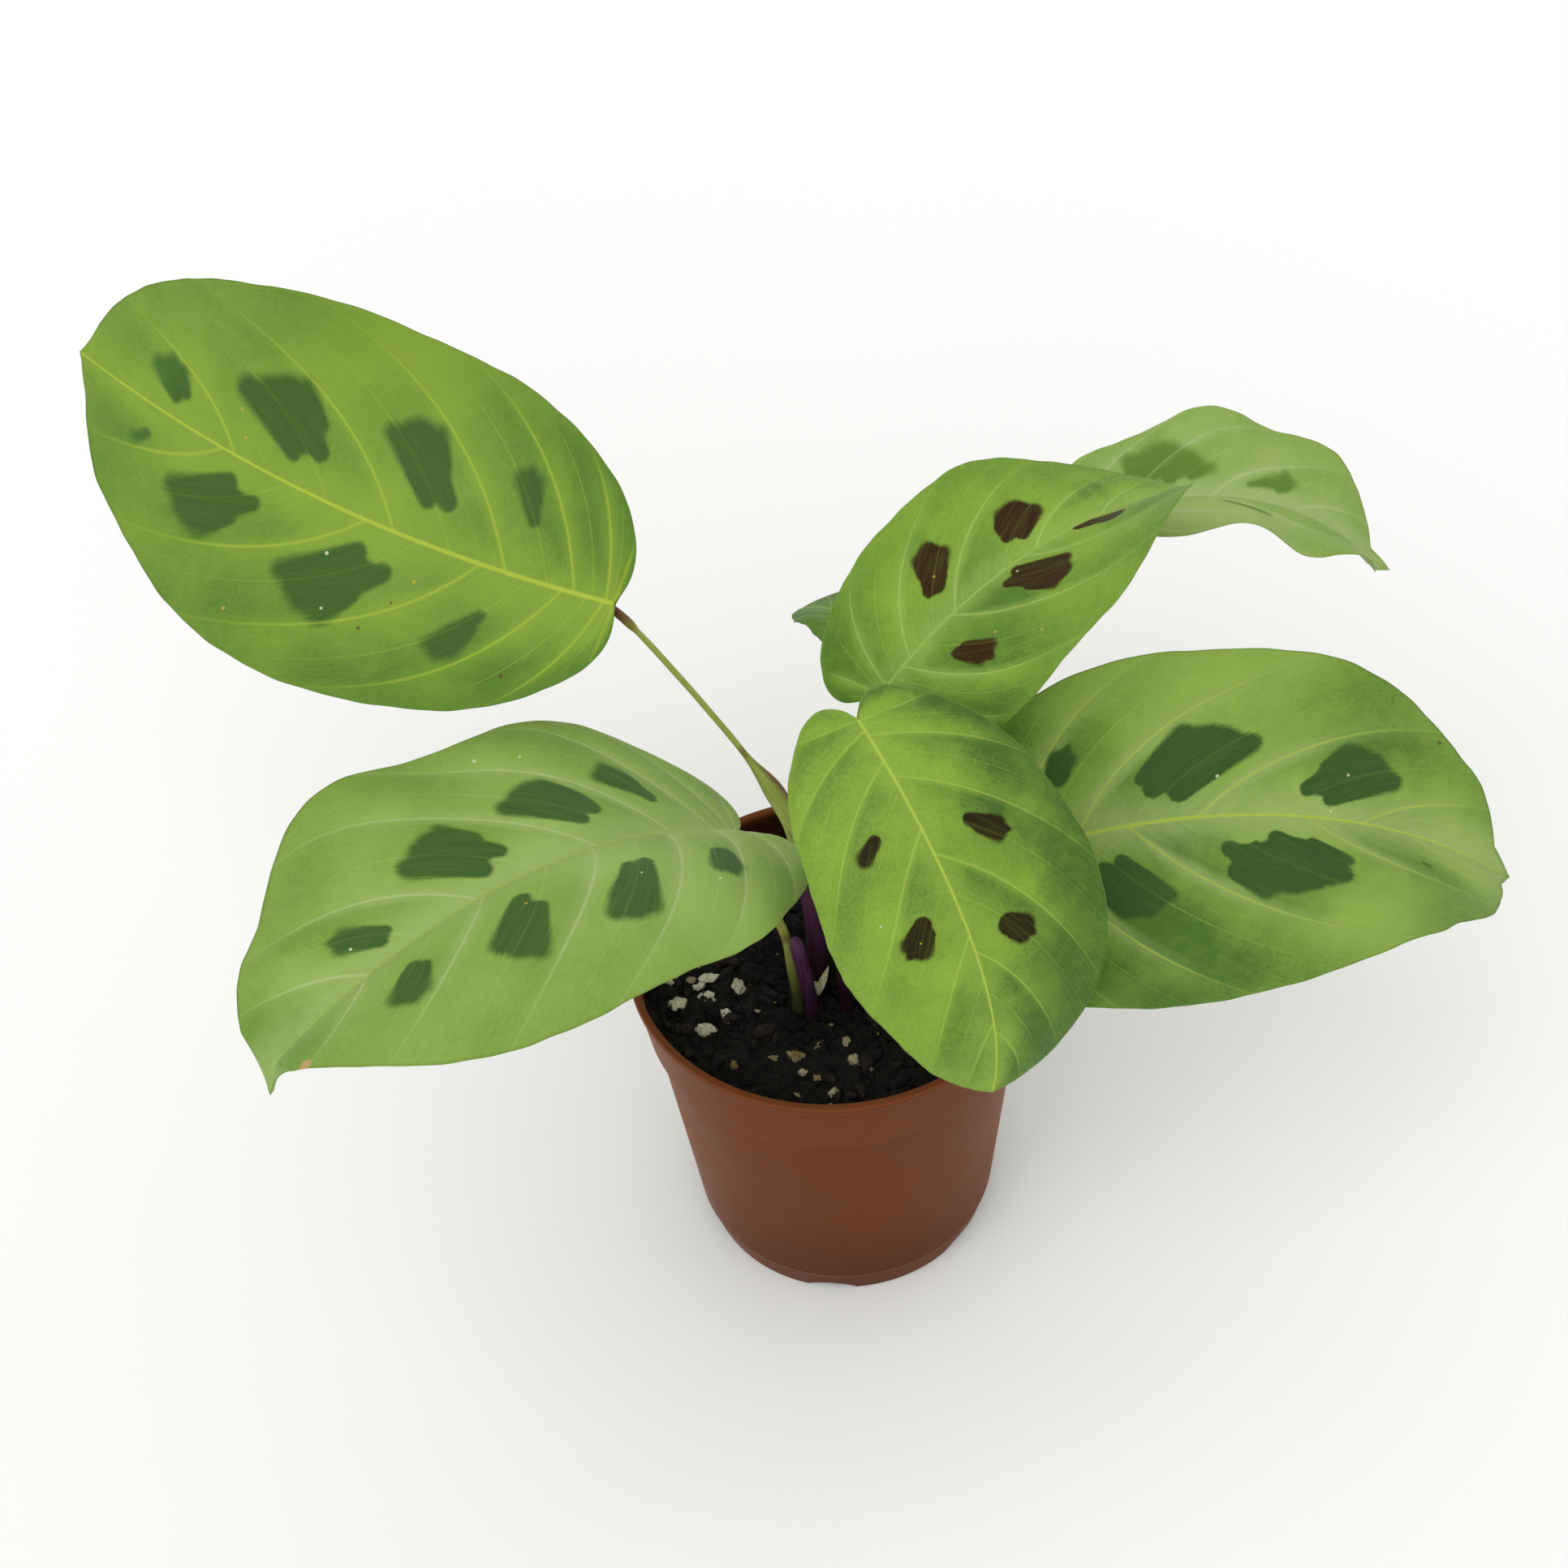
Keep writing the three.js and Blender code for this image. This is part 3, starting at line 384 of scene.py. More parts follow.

# Broad areas of the blades, partly painted light and shade and partly the blade's own lighter and
# darker green: half, u, v, radius in millimetres, and strength, above zero where the blade is
# lighter and below zero where it is darker
LIGHT_AND_TONE_AREAS = {
    "upper_left": (
        ("right", 0.505, 0.89, 20, 0.7), ("left", 0.407, 0.53, 18, -0.55),
        ("right", 0.277, 0.39, 18, -0.85), ("left", 0.78, 0.9, 12, 0.25),
        ("right", 0.767, 0.06, 14, 0.3),
    ),
    "lower_left": (
        ("left", 0.5, 0.64, 18, 0.9), ("left", 0.722, 0.08, 16, 1.2),
        ("left", 0.834, 0.09, 12, 0.8), ("right", 0.961, 0.44, 14, -1.2),
        ("right", 0.57, 0.52, 14, 0.4), ("right", 0.787, 0.84, 14, -0.3),
    ),
    "front": (
        ("left", 0.339, 0.22, 16, -0.15), ("left", 0.539, 0.55, 20, -0.4),
        ("left", 0.85, 0.3, 22, -0.6), ("right", 0.739, 0.75, 14, 0.4),
    ),
    "right": (
        ("left", 0.52, 0.77, 20, 0.8), ("right", 0.619, 0.25, 14, -0.6),
        ("left", 0.72, 0.78, 14, -0.4), ("right", 0.946, 0.42, 14, 0.9),
        ("right", 0.427, 0.74, 20, -0.8), ("right", 0.65, 0.85, 18, 0.8),
        ("right", 0.818, 0.04, 14, 0.9),
    ),
    "centre": (
        ("left", 0.406, 0.68, 12, 0.3), ("right", 0.525, 0.81, 12, 0.2),
        ("left", 0.264, 0.08, 12, -0.8), ("right", 0.627, 0.21, 14, -0.9),
        ("right", 0.754, 0.7, 10, 0.3), ("left", 0.847, 0.61, 4, -1),
    ),
    "far_right": (("right", 0.609, 0.46, 16, 1.1),),
    "back": (),
}

# Small marks: half, u, v, radius in millimetres, colour
BROWN = "#54451f"
WHITE = "#cfd3ae"
YELLOW = "#b5a93c"
BEIGE = "#c99a6e"
MARKS = {
    "upper_left": (
        ("left", 0.577, 0.49, 0.42, BROWN), ("left", 0.611, 0.31, 0.3, BROWN),
        ("left", 0.329, 0.53, 0.45, BROWN), ("right", 0.633, 0.36, 0.25, BROWN),
        ("left", 0.72, 0.26, 0.4, WHITE), ("left", 0.628, 0.5, 0.3, WHITE),
        ("right", 0.851, 0.17, 0.35, YELLOW), ("right", 0.837, 0.36, 0.3, YELLOW),
        ("left", 0.63, 0.18, 0.4, YELLOW), ("left", 0.628, 0.8, 0.35, YELLOW),
    ),
    "lower_left": (
        ("left", 0.912, 0.975, 1.1, BEIGE), ("left", 0.757, 0.37, 0.3, YELLOW),
        ("right", 0.878, 0.33, 0.3, WHITE), ("right", 0.516, 0.71, 0.35, WHITE),
        ("right", 0.504, 0.59, 0.3, WHITE), ("left", 0.63, 0.38, 0.25, WHITE),
        ("left", 0.501, 0.48, 0.3, WHITE),
    ),
    "front": (("right", 0.71, 0.4, 0.2, YELLOW), ("right", 0.608, 0.55, 0.2, WHITE)),
    "right": (
        ("left", 0.742, 0.955, 0.45, BROWN), ("left", 0.686, 0.26, 0.35, WHITE),
        ("left", 0.793, 0.45, 0.3, WHITE), ("left", 0.842, 0.09, 0.25, WHITE),
    ),
    "centre": (
        ("right", 0.747, 0.11, 0.3, WHITE), ("right", 0.574, 0.32, 0.3, YELLOW),
        ("right", 0.533, 0.61, 0.3, YELLOW), ("left", 0.591, 0.3, 0.25, YELLOW),
    ),
    "far_right": (),
    "back": (),
}

# ---- Fineness and sizes of the scene's pieces alone, in millimetres ------------------------

POT_SIDES = 192
SHARP_ANGLE = 34  # edges of the pot that turn by more degrees than this stay sharp
DRAIN_MIDDLE = 1.6
DRAIN_LENGTH = 3.0
SOIL_SIDES = 300
SOIL_RINGS = 110
SOIL_MIDDLE = 40.0  # the height of the ring of vertices part of the way up the soil's wall
SOIL_CLEARANCES = (0.5, 0.2, 0.08)  # from the pot's wall at the foot, this ring and the top
WHITE_GRAIN_SCALE = 0.95
DULL_GRAIN_SCALE = 0.8
DULL_FRONT = -12.0  # grains nearer to the front than this are duller
HIDDEN_GRAINS = 16
HIDDEN_RING = (10, 27)  # how near to the middle they lie and how far from it
SMALL_GRAINS = 40
SMALL_RING = (4, 28.5)
LOOSE_CRUMBS = 420
CRUMB_RING = (0, 28.8)
SEAT_OVERLAP = 0.9  # how far a stalk reaches into its blade's midrib
BRACT_FINE_THICKNESS = 0.35
BRACT_CUP = 0.045
ROWS = 230  # steps of a blade from base to tip
LANES = 44  # steps from the midrib to the margin
FINE_THICKNESS = 0.42
MARGIN_THICKNESS = 0.16
MARGIN_TAPER = 0.12  # the share of a lane over which the blade thins to its margin
GROOVE_DEPTH = 0.22  # over the midrib
GROOVE_WIDTH = 0.7
KEEL_WIDTH = 0.75  # the keel under the midrib stands RIB_PROUD
MIDRIB_END_WIDTH = 0.14  # half the width of the midrib's colour at the tip
SWELL_SUNK = 0.45  # the share of the swelling by which the whole blade is lowered again
FAR_FROM_SPOTS = 6.0
RAGGED_MARGIN = ((5.3, 0.13), (11.7, 0.07), (23.1, 0.04))  # turns per half, height in millimetres
FINGER_SWELL = 1.1  # fingers are a little wider than their veins' spacing gives
SPOT_FILL = 2.4  # how far a spot reaches past the line through its fingers' outer ends
SPOT_CORNERS = 0.1  # the share of that reach left at the spot's two outer corners
FINGER_MELT = 1.0  # how far two fingers run together, in millimetres

# ---- Camera, floor and world ---------------------------------------------------------------

# The camera was worked out from the pot's rim, collar and foot in the photograph
CAMERA_ELEVATION = 46.0
CAMERA_DISTANCE = 450.0
CAMERA_TARGET = (-5.6, 0.0, 97.6)
CAMERA_ROLL = -4.47
CAMERA_LENS = 69.35
SENSOR_WIDTH = 36.0
FLOOR_REACH = 6000.0
WORLD_LIGHT = 0.72

# ---- Small helpers -------------------------------------------------------------------------


def linear(hex_colour):
    """An sRGB hex colour as a linear RGBA tuple."""
    values = [int(hex_colour[i : i + 2], 16) / 255 for i in (1, 3, 5)]
    curve = [v / 12.92 if v <= 0.04045 else ((v + 0.055) / 1.055) ** 2.4 for v in values]
    return (*curve, 1.0)


def blend(first, second, share):
    """A linear colour between two hex colours."""
    pairs = zip(linear(first), linear(second))
    return tuple(a + (b - a) * share for a, b in pairs)


def smoothstep(x, low, high):
    share = np.clip((x - low) / (high - low), 0.0, 1.0)
    return share * share * (3 - 2 * share)


def arc(start, knee, end, t):
    """The point at share t of the curve that leaves start towards the knee and bends to end."""
    return (1 - t) ** 2 * start + 2 * t * (1 - t) * knee + t * t * end


def around(radius, sides, height, shift=0.0):
    """Points evenly around a level circle, turned on by a share of a step."""
    for j in range(sides):
        angle = 2 * math.pi * (j + shift) / sides
        yield (radius * math.cos(angle), radius * math.sin(angle), height)


def ring_faces(start, count, sides):
    """The faces from each of count rings of vertices to the next; start is the first vertex."""
    for low in range(start, start + count * sides, sides):
        for j in range(sides):
            k = (j + 1) % sides
            yield (low + j, low + k, low + sides + k, low + sides + j)


def add_object(name, data, material=None):
    obj = bpy.data.objects.new(name, data)
    bpy.context.scene.collection.objects.link(obj)
    if material is not None:
        data.materials.append(material)
    return obj


def make_object(name, points, faces, material):
    """A smooth mesh object from points in millimetres."""
    mesh = bpy.data.meshes.new(name)
    mesh.from_pydata((np.asarray(points, float) * MM).tolist(), [], [list(f) for f in faces])
    mesh.validate()
    mesh.update()
    mesh.shade_smooth()
    return add_object(name, mesh, material)


def from_bmesh(name, made, material=None, smooth=False):
    """An object from a bmesh, which is freed."""
    mesh = bpy.data.meshes.new(name)
    made.to_mesh(mesh)
    made.free()
    if smooth:
        mesh.shade_smooth()
    return add_object(name, mesh, material)


def add_values(obj, name, domain, values):
    """Stores three rows of numbers, one column for each point or corner, for the shader."""
    layer = obj.data.attributes.new(name, "FLOAT_VECTOR", domain)
    layer.data.foreach_set("vector", np.stack(values, -1).astype(np.float32).ravel())


def place(obj, slot_name, *nodes):
    """The piece rides on the one body and stands for the CAD nodes, which are hidden; slot_name
    is not used.
    """
    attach(obj, "root")
    if nodes:
        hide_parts(*nodes)
    return obj


class Shader:
    """A material's node tree, with short calls for the nodes used here."""

    def __init__(self, name, specular, roughness=0.5):
        self.material = bpy.data.materials.new(name)
        self.material.use_nodes = True
        self.tree = self.material.node_tree
        self.tree.nodes.clear()
        output = self.node("OutputMaterial")
        self.surface = self.node("BsdfPrincipled", Roughness=roughness)
        self.surface.inputs["Specular IOR Level"].default_value = specular
        self.set(output.inputs["Surface"], self.surface.outputs["BSDF"])

    def set(self, target, value):
        """Gives a socket a number, a vector, a hex colour or another node's output."""
        if isinstance(value, bpy.types.NodeSocket):
            self.tree.links.new(value, target)
        else:
            target.default_value = linear(value) if isinstance(value, str) else value

    def node(self, kind, *values, **named_values):
        """A new node with its inputs set, by their order or by their names."""
        node = self.tree.nodes.new("ShaderNode" + kind)
        for target, value in zip(node.inputs, values):
            self.set(target, value)
        for name, value in named_values.items():
            self.set(node.inputs[name], value)
        return node

    def attribute(self, name, output="Vector"):
        node = self.node("Attribute")
        node.attribute_name = name
        return node.outputs[output]

    def stored(self, name):
        """The three numbers that the mesh stores under the name."""
        return self.split(self.attribute(name))

    def split(self, vector):
        return tuple(self.node("SeparateXYZ", vector).outputs)

    def join(self, x, y):
        return self.node("CombineXYZ", x, y).outputs[0]

    def position(self):
        return self.node("TexCoord").outputs["Object"]

    def math(self, operation, a, b=0.0):
        node = self.node("Math", a, b)
        node.operation = operation
        return node.outputs[0]

    def plus(self, *values):
        return reduce(lambda a, b: self.math("ADD", a, b), values)

    def times(self, *values):
        return reduce(lambda a, b: self.math("MULTIPLY", a, b), values)

    def gap(self, value, number):
        """How far the value is from the number, either way."""
        return self.math("ABSOLUTE", self.plus(value, -number))

    def length(self, x, y):
        return self.math("SQRT", self.plus(self.times(x, x), self.times(y, y)))

    def swing(self, value, reach):
        """A value that varies around a half, made to vary around zero."""
        return self.times(self.plus(value, -0.5), reach)

    def ramp(self, value, low, high, out_low=0.0, out_high=1.0, ease="SMOOTHSTEP"):
        """The value taken from low..high to out_low..out_high, eased at both ends."""
        node = self.node("MapRange", value, low, high, out_low, out_high)
        node.interpolation_type = ease
        return node.outputs[0]

    def mix(self, share, a, b):
        node = self.tree.nodes.new("ShaderNodeMix")
        node.data_type = "RGBA"
        # the node's sockets for the share and for its two colours, and its colour output
        for i, value in ((0, share), (6, a), (7, b)):
            self.set(node.inputs[i], value)
        return node.outputs[2]

    def tint(self, colour, other, *ramp):
        """The colour turned towards another by a ramp."""
        return self.mix(self.ramp(*ramp), colour, other)

    def noise(self, vector, scale, detail=3.0, roughness=0.55):
        return self.node(
            "TexNoise", Vector=vector, Scale=scale, Detail=detail, Roughness=roughness
        ).outputs[0]

    def finish(self, colour, roughness=None, relief=None):
        """The material with its colour, the ramp of its roughness, and its relief.

        The relief is a height, a distance in millimetres and a strength.
        """
        self.set(self.surface.inputs["Base Color"], colour)
        if roughness is not None:
            self.set(self.surface.inputs["Roughness"], self.ramp(*roughness))
        if relief is not None:
            height, distance, strength = relief
            bump = self.node("Bump", Strength=strength, Distance=distance * MM, Height=height)
            self.set(self.surface.inputs["Normal"], bump.outputs[0])
        return self.material


# ---- Blades --------------------------------------------------------------------------------


def blade_axes(leaf, s, more_droop=0.0):
    """The midrib's direction, the blade's side direction and its normal at share s."""
    s = np.asarray(s, float)
    heading = np.radians(leaf["heading"] + leaf["bend"] * s)
    pitch = np.radians(leaf["rise"] - leaf["droop"] * s - more_droop)
    roll = np.radians(leaf["roll"] + leaf["twist"] * s)[..., None]
    along = np.stack(
        [np.cos(pitch) * np.cos(heading), np.cos(pitch) * np.sin(heading), np.sin(pitch)], -1
    )
    level = np.stack([-np.sin(heading), np.cos(heading), np.zeros_like(heading)], -1)
    upright = np.cross(along, level)
    side = level * np.cos(roll) + upright * np.sin(roll)
    normal = -level * np.sin(roll) + upright * np.cos(roll)
    return along, side, normal


def midrib_points(leaf):
    """The midrib from base to tip in equal steps, each turned as the midrib bends."""
    middles = (np.arange(MIDRIB_STEPS) + 0.5) / MIDRIB_STEPS
    along, _, _ = blade_axes(leaf, middles)
    steps = np.cumsum(along * leaf["length"] / MIDRIB_STEPS, axis=0)
    return np.array(leaf["base"], float) + np.vstack([np.zeros((1, 3)), steps])


def margin(leaf, half, u):
    """Where a half's margin lies, along the midrib and across it."""
    turn = np.pi * u
    swell = np.sin(turn).clip(0) ** leaf["fullness"]
    across = half["width"] * swell * (1 + leaf["skew"] * np.cos(turn))
    lobe = leaf["lobe"] * (turn / LOBE_REACH) * np.exp(1 - turn / LOBE_REACH)
    drip = np.where(u > 0.5, leaf["drip"] * np.exp(-across / DRIP_WIDTH), 0.0)
    return leaf["length"] * (1 - np.cos(turn)) / 2 - lobe + drip, across


def lane_point(leaf, half, u, v):
    """The flat point at share v out along the side vein that meets the margin at u."""
    margin_along, margin_across = margin(leaf, half, u)
    start = (leaf["length"] + leaf["drip"]) * u**LANE_POWER
    knee_along = start + LANE_ALONG * (margin_along - start)
    along = arc(start, knee_along, margin_along, v)
    return along, arc(0.0, LANE_ACROSS * margin_across, margin_across, v)


def blade_point(leaf, along, across, is_left):
    """The flat point folded at the midrib, curled, waved and set on the bent midrib."""
    half = leaf["left"] if is_left else leaf["right"]
    points = midrib_points(leaf)
    s = np.clip(along / leaf["length"], 0, 1.1)
    direction, side, normal = blade_axes(leaf, s)
    step = np.minimum(s, 1) * MIDRIB_STEPS
    first = np.minimum(step.astype(int), MIDRIB_STEPS - 1)
    share = (step - first)[..., None]
    point = points[first] * (1 - share) + points[first + 1] * share
    point = point + direction * np.minimum(along, 0)[..., None]
    past_end = np.clip((along - leaf["length"]) / leaf["drip"], 0, 1)
    tip_direction, _, _ = blade_axes(leaf, 1.0, leaf["tip_droop"])
    point = point + tip_direction * (past_end * leaf["tip_reach"])[..., None]

    fold = math.radians(half["fold"])
    curl = math.radians(half["curl"])
    t = np.minimum(across / half["width"], 1.2)
    out = half["width"] * (np.sin(fold + curl * t) - math.sin(fold)) / curl
    turns = 2 * np.pi * half["waves"] * along / leaf["length"] + math.radians(half["phase"])
    lift = half["width"] * (math.cos(fold) - np.cos(fold + curl * t)) / curl
    lift = lift + half["wave"] * t * t * np.sin(turns)
    sign = 1.0 if is_left else -1.0
    return point + side * (sign * out)[..., None] + normal * lift[..., None]


def vein_index(shares, u):
    """A number that grows along the blade: whole at the main veins, a half between them."""
    known = [0.0, *shares, 1.0]
    index = [0.0, *(1 + 0.5 * np.arange(len(shares) + 1))]
    return np.interp(u, known, index)


def line_gap(x, y, start, end):
    """The share along a line that lies nearest to each point, and how far off it is."""
    x0, y0 = start
    x1, y1 = end
    length_squared = (x1 - x0) ** 2 + (y1 - y0) ** 2 + 1e-9
    share = np.clip(((x - x0) * (x1 - x0) + (y - y0) * (y1 - y0)) / length_squared, 0, 1)
    return share, np.hypot(x - x0 - share * (x1 - x0), y - y0 - share * (y1 - y0))


def polygon_gap(x, y, corners):
    """Signed distance from the points to a polygon's outline, negative inside it."""
    nearest = np.full(x.shape, FAR_FROM_SPOTS)
    inside = np.zeros(x.shape, bool)
    for i, (x1, y1) in enumerate(corners):
        x0, y0 = corners[i - 1]
        _, gap = line_gap(x, y, (x0, y0), (x1, y1))
        nearest = np.minimum(nearest, gap)
        if y0 != y1:
            inside ^= ((y0 > y) != (y1 > y)) & (x < (x1 - x0) * (y - y0) / (y1 - y0) + x0)
    return np.where(inside, -nearest, nearest)


def melted(first, second):
    """The smaller of two distances, eased where they are alike."""
    overlap = np.clip(0.5 + 0.5 * (first - second) / FINGER_MELT, 0, 1)
    return first + (second - first) * overlap - FINGER_MELT * overlap * (1 - overlap)


def spot_field(leaf, half, spots, along, across):
    """Signed distance in millimetres to the nearest spot, and the share out along its finger."""
    nearest = np.full(along.shape, FAR_FROM_SPOTS)
    outward = np.zeros(along.shape)
    for fingers in spots:
        inner_ends = []
        outer_ends = []
        for inner_u, inner_v, start_radius, outer_u, outer_v, end_radius in fingers:
            inner_ends.append(lane_point(leaf, half, inner_u, inner_v))
            outer_ends.append(lane_point(leaf, half, outer_u, outer_v))
            share, gap = line_gap(along, across, inner_ends[-1], outer_ends[-1])
            gap = gap - FINGER_SWELL * (start_radius + share * (end_radius - start_radius))
            outward = np.where(gap < nearest, share, outward)
            nearest = melted(nearest, gap)
        if len(fingers) > 1:
            between = polygon_gap(along, across, inner_ends + outer_ends[::-1])
            share, _ = line_gap(along, across, outer_ends[0], outer_ends[-1])
            bulge = SPOT_CORNERS + (1 - SPOT_CORNERS) * 4 * share * (1 - share)
            nearest = melted(nearest, between - SPOT_FILL * bulge * outward)
    return nearest, outward


def ragged(leaf, name, half, u):
    """The small unevenness of a half's margin, in millimetres."""
    uneven = np.zeros(u.shape)
    for side, place_u, width, height in leaf["bumps"]:
        if side == name:
            uneven += height * np.exp(-(((u - place_u) / width) ** 2))
    for turns, height in RAGGED_MARGIN:
        uneven += height * np.sin(2 * np.pi * turns * u + half["width"] + turns * leaf["heading"])
    return uneven


def half_fields(leaf, name, u, v):
    """For one half on the (u, v) grid: its points and the values its shader reads."""
    half = leaf[name]
    along, across = lane_point(leaf, half, u, v)
    across = across + ragged(leaf, name, half, u) * v**3 * smoothstep(across, 0.0, 4.0)
    index = vein_index(leaf[f"{name}_veins"], u)
    along_by_u, along_by_v = np.gradient(along, u[:, 0], v[0], edge_order=1)
    across_by_u, across_by_v = np.gradient(across, u[:, 0], v[0], edge_order=1)
    lane_length = np.hypot(along_by_v, across_by_v) + 1e-6
    apart = np.abs(along_by_u * across_by_v - across_by_u * along_by_v) / lane_length
    spot, outward = spot_field(leaf, half, leaf[f"{name}_spots"], along, across)
    return dict(
        point=blade_point(leaf, along, across, name == "left"), along=along, across=across,
        index=index, v=v, spacing=apart / np.gradient(index, u[:, 0], axis=0),
        spot=spot, outward=outward, margin=(1 - v) * lane_length,
    )


def swelling(fields, height):
    """How far the blade bulges between its side veins."""
    turns = np.pi * fields["index"]
    envelope = smoothstep(fields["across"], 0.5, 5.0) * smoothstep(1 - fields["v"], 0.0, 0.3)
    return height * (np.abs(np.sin(turns)) ** 0.85 + 0.12 * np.abs(np.sin(2 * turns))) * envelope


def make_blade(name, material):
    """The blade as a closed skin: its upper side, its underside and the rim between them."""
    leaf = LEAVES[name]
    swell = LOOKS[name]["swell"]
    rows = np.arange(1, ROWS) / ROWS
    lanes = np.arange(LANES + 1) / LANES
    u, v = np.meshgrid(rows, lanes, indexing="ij")
    right = half_fields(leaf, "right", u, v)
    left = half_fields(leaf, "left", u, v)
    for fields in (right, left):
        fields["swelling"] = swelling(fields, swell)

    # one grid from the right margin over the midrib to the left margin
    def joined(key):
        return np.concatenate([right[key][:, :0:-1], left[key]], axis=1)

    middle = joined("point")
    normal = np.cross(np.gradient(middle, axis=0), np.gradient(middle, axis=1))
    normal /= np.linalg.norm(normal, axis=-1, keepdims=True) + 1e-12
    across = joined("across")
    lane = joined("v")
    raised = joined("swelling") - SWELL_SUNK * swell * (1 - lane**4)
    middle = middle + normal * raised[..., None]
    to_tip = 1 - u[:, :1]
    groove = GROOVE_DEPTH * np.exp(-((across / GROOVE_WIDTH) ** 2)) * to_tip
    keel = RIB_PROUD * np.exp(-((across / KEEL_WIDTH) ** 2)) * to_tip
    thickening = (FINE_THICKNESS - MARGIN_THICKNESS) * smoothstep(1 - lane, 0.0, MARGIN_TAPER)
    half_thickness = 0.5 * (MARGIN_THICKNESS + thickening)
    upper = middle + normal * (half_thickness - groove)[..., None]
    lower = middle - normal * (half_thickness + keel)[..., None]

    midrib = np.array([0.0])
    base = blade_point(leaf, midrib, midrib, True)
    tip = blade_point(leaf, midrib + leaf["length"] + leaf["drip"], midrib, True)
    _, _, base_normal = blade_axes(leaf, 0.0)
    _, _, tip_normal = blade_axes(leaf, 1.0)
    half_base = base_normal * 0.5 * FINE_THICKNESS
    half_tip = tip_normal * 0.5 * MARGIN_THICKNESS
    points = np.vstack([
        base + half_base, upper.reshape(-1, 3), tip + half_tip,
        base - half_base - base_normal * RIB_PROUD, lower.reshape(-1, 3), tip - half_tip,
    ])
    columns = 2 * LANES + 1
    under = len(points) // 2

    def at(row, column):
        if row == 0:
            return 0
        return under - 1 if row == ROWS else 1 + (row - 1) * columns + column

    upper_faces = []
    upper_corners = []  # (row, column, is on the right half) for each corner of the faces
    for row in range(ROWS):
        for column in range(columns - 1):
            ring = [(row, column), (row + 1, column), (row + 1, column + 1), (row, column + 1)]
            if row == 0:
                ring = ring[:3]
            elif row == ROWS - 1:
                ring = [ring[0], ring[1], ring[3]]
            upper_faces.append([at(*corner) for corner in ring])
            upper_corners.append([(*corner, column < LANES) for corner in ring])
    lower_faces = [[under + i for i in reversed(face)] for face in upper_faces]
    lower_corners = [list(reversed(ring)) for ring in upper_corners]
    rim = [(row, 0) for row in range(ROWS + 1)]
    rim += [(row, columns - 1) for row in range(ROWS - 1, 0, -1)]
    rim_faces = []
    rim_corners = []
    for a, b in zip(rim, rim[1:] + rim[:1]):
        rim_faces.append([under + at(*a), under + at(*b), at(*b), at(*a)])
        rim_corners.append([(*corner, max(a[1], b[1]) < LANES) for corner in (a, b, b, a)])
    faces = upper_faces + lower_faces + rim_faces
    obj = make_object(f"leaf_{name}", points, faces, material)

    corners = [corner for ring in upper_corners + lower_corners + rim_corners for corner in ring]
    row, column, is_right = np.array(corners).T
    place_in_half = (np.clip(row, 1, ROWS - 1) - 1, np.abs(column - LANES))

    def corner_values(*keys):
        return [
            np.where(is_right, right[key][place_in_half], left[key][place_in_half])
            for key in keys
        ]

    along, across = corner_values("along", "across")
    below = np.zeros(len(corners))
    upper_count = sum(len(face) for face in upper_faces)
    below[upper_count : 2 * upper_count] = 1.0
    add_values(obj, "lane", "CORNER", corner_values("index", "v", "spacing"))
    add_values(obj, "flat", "CORNER", [along, np.where(is_right, -across, across), below])
    add_values(obj, "spot", "CORNER", corner_values("spot", "outward", "margin"))
    return obj


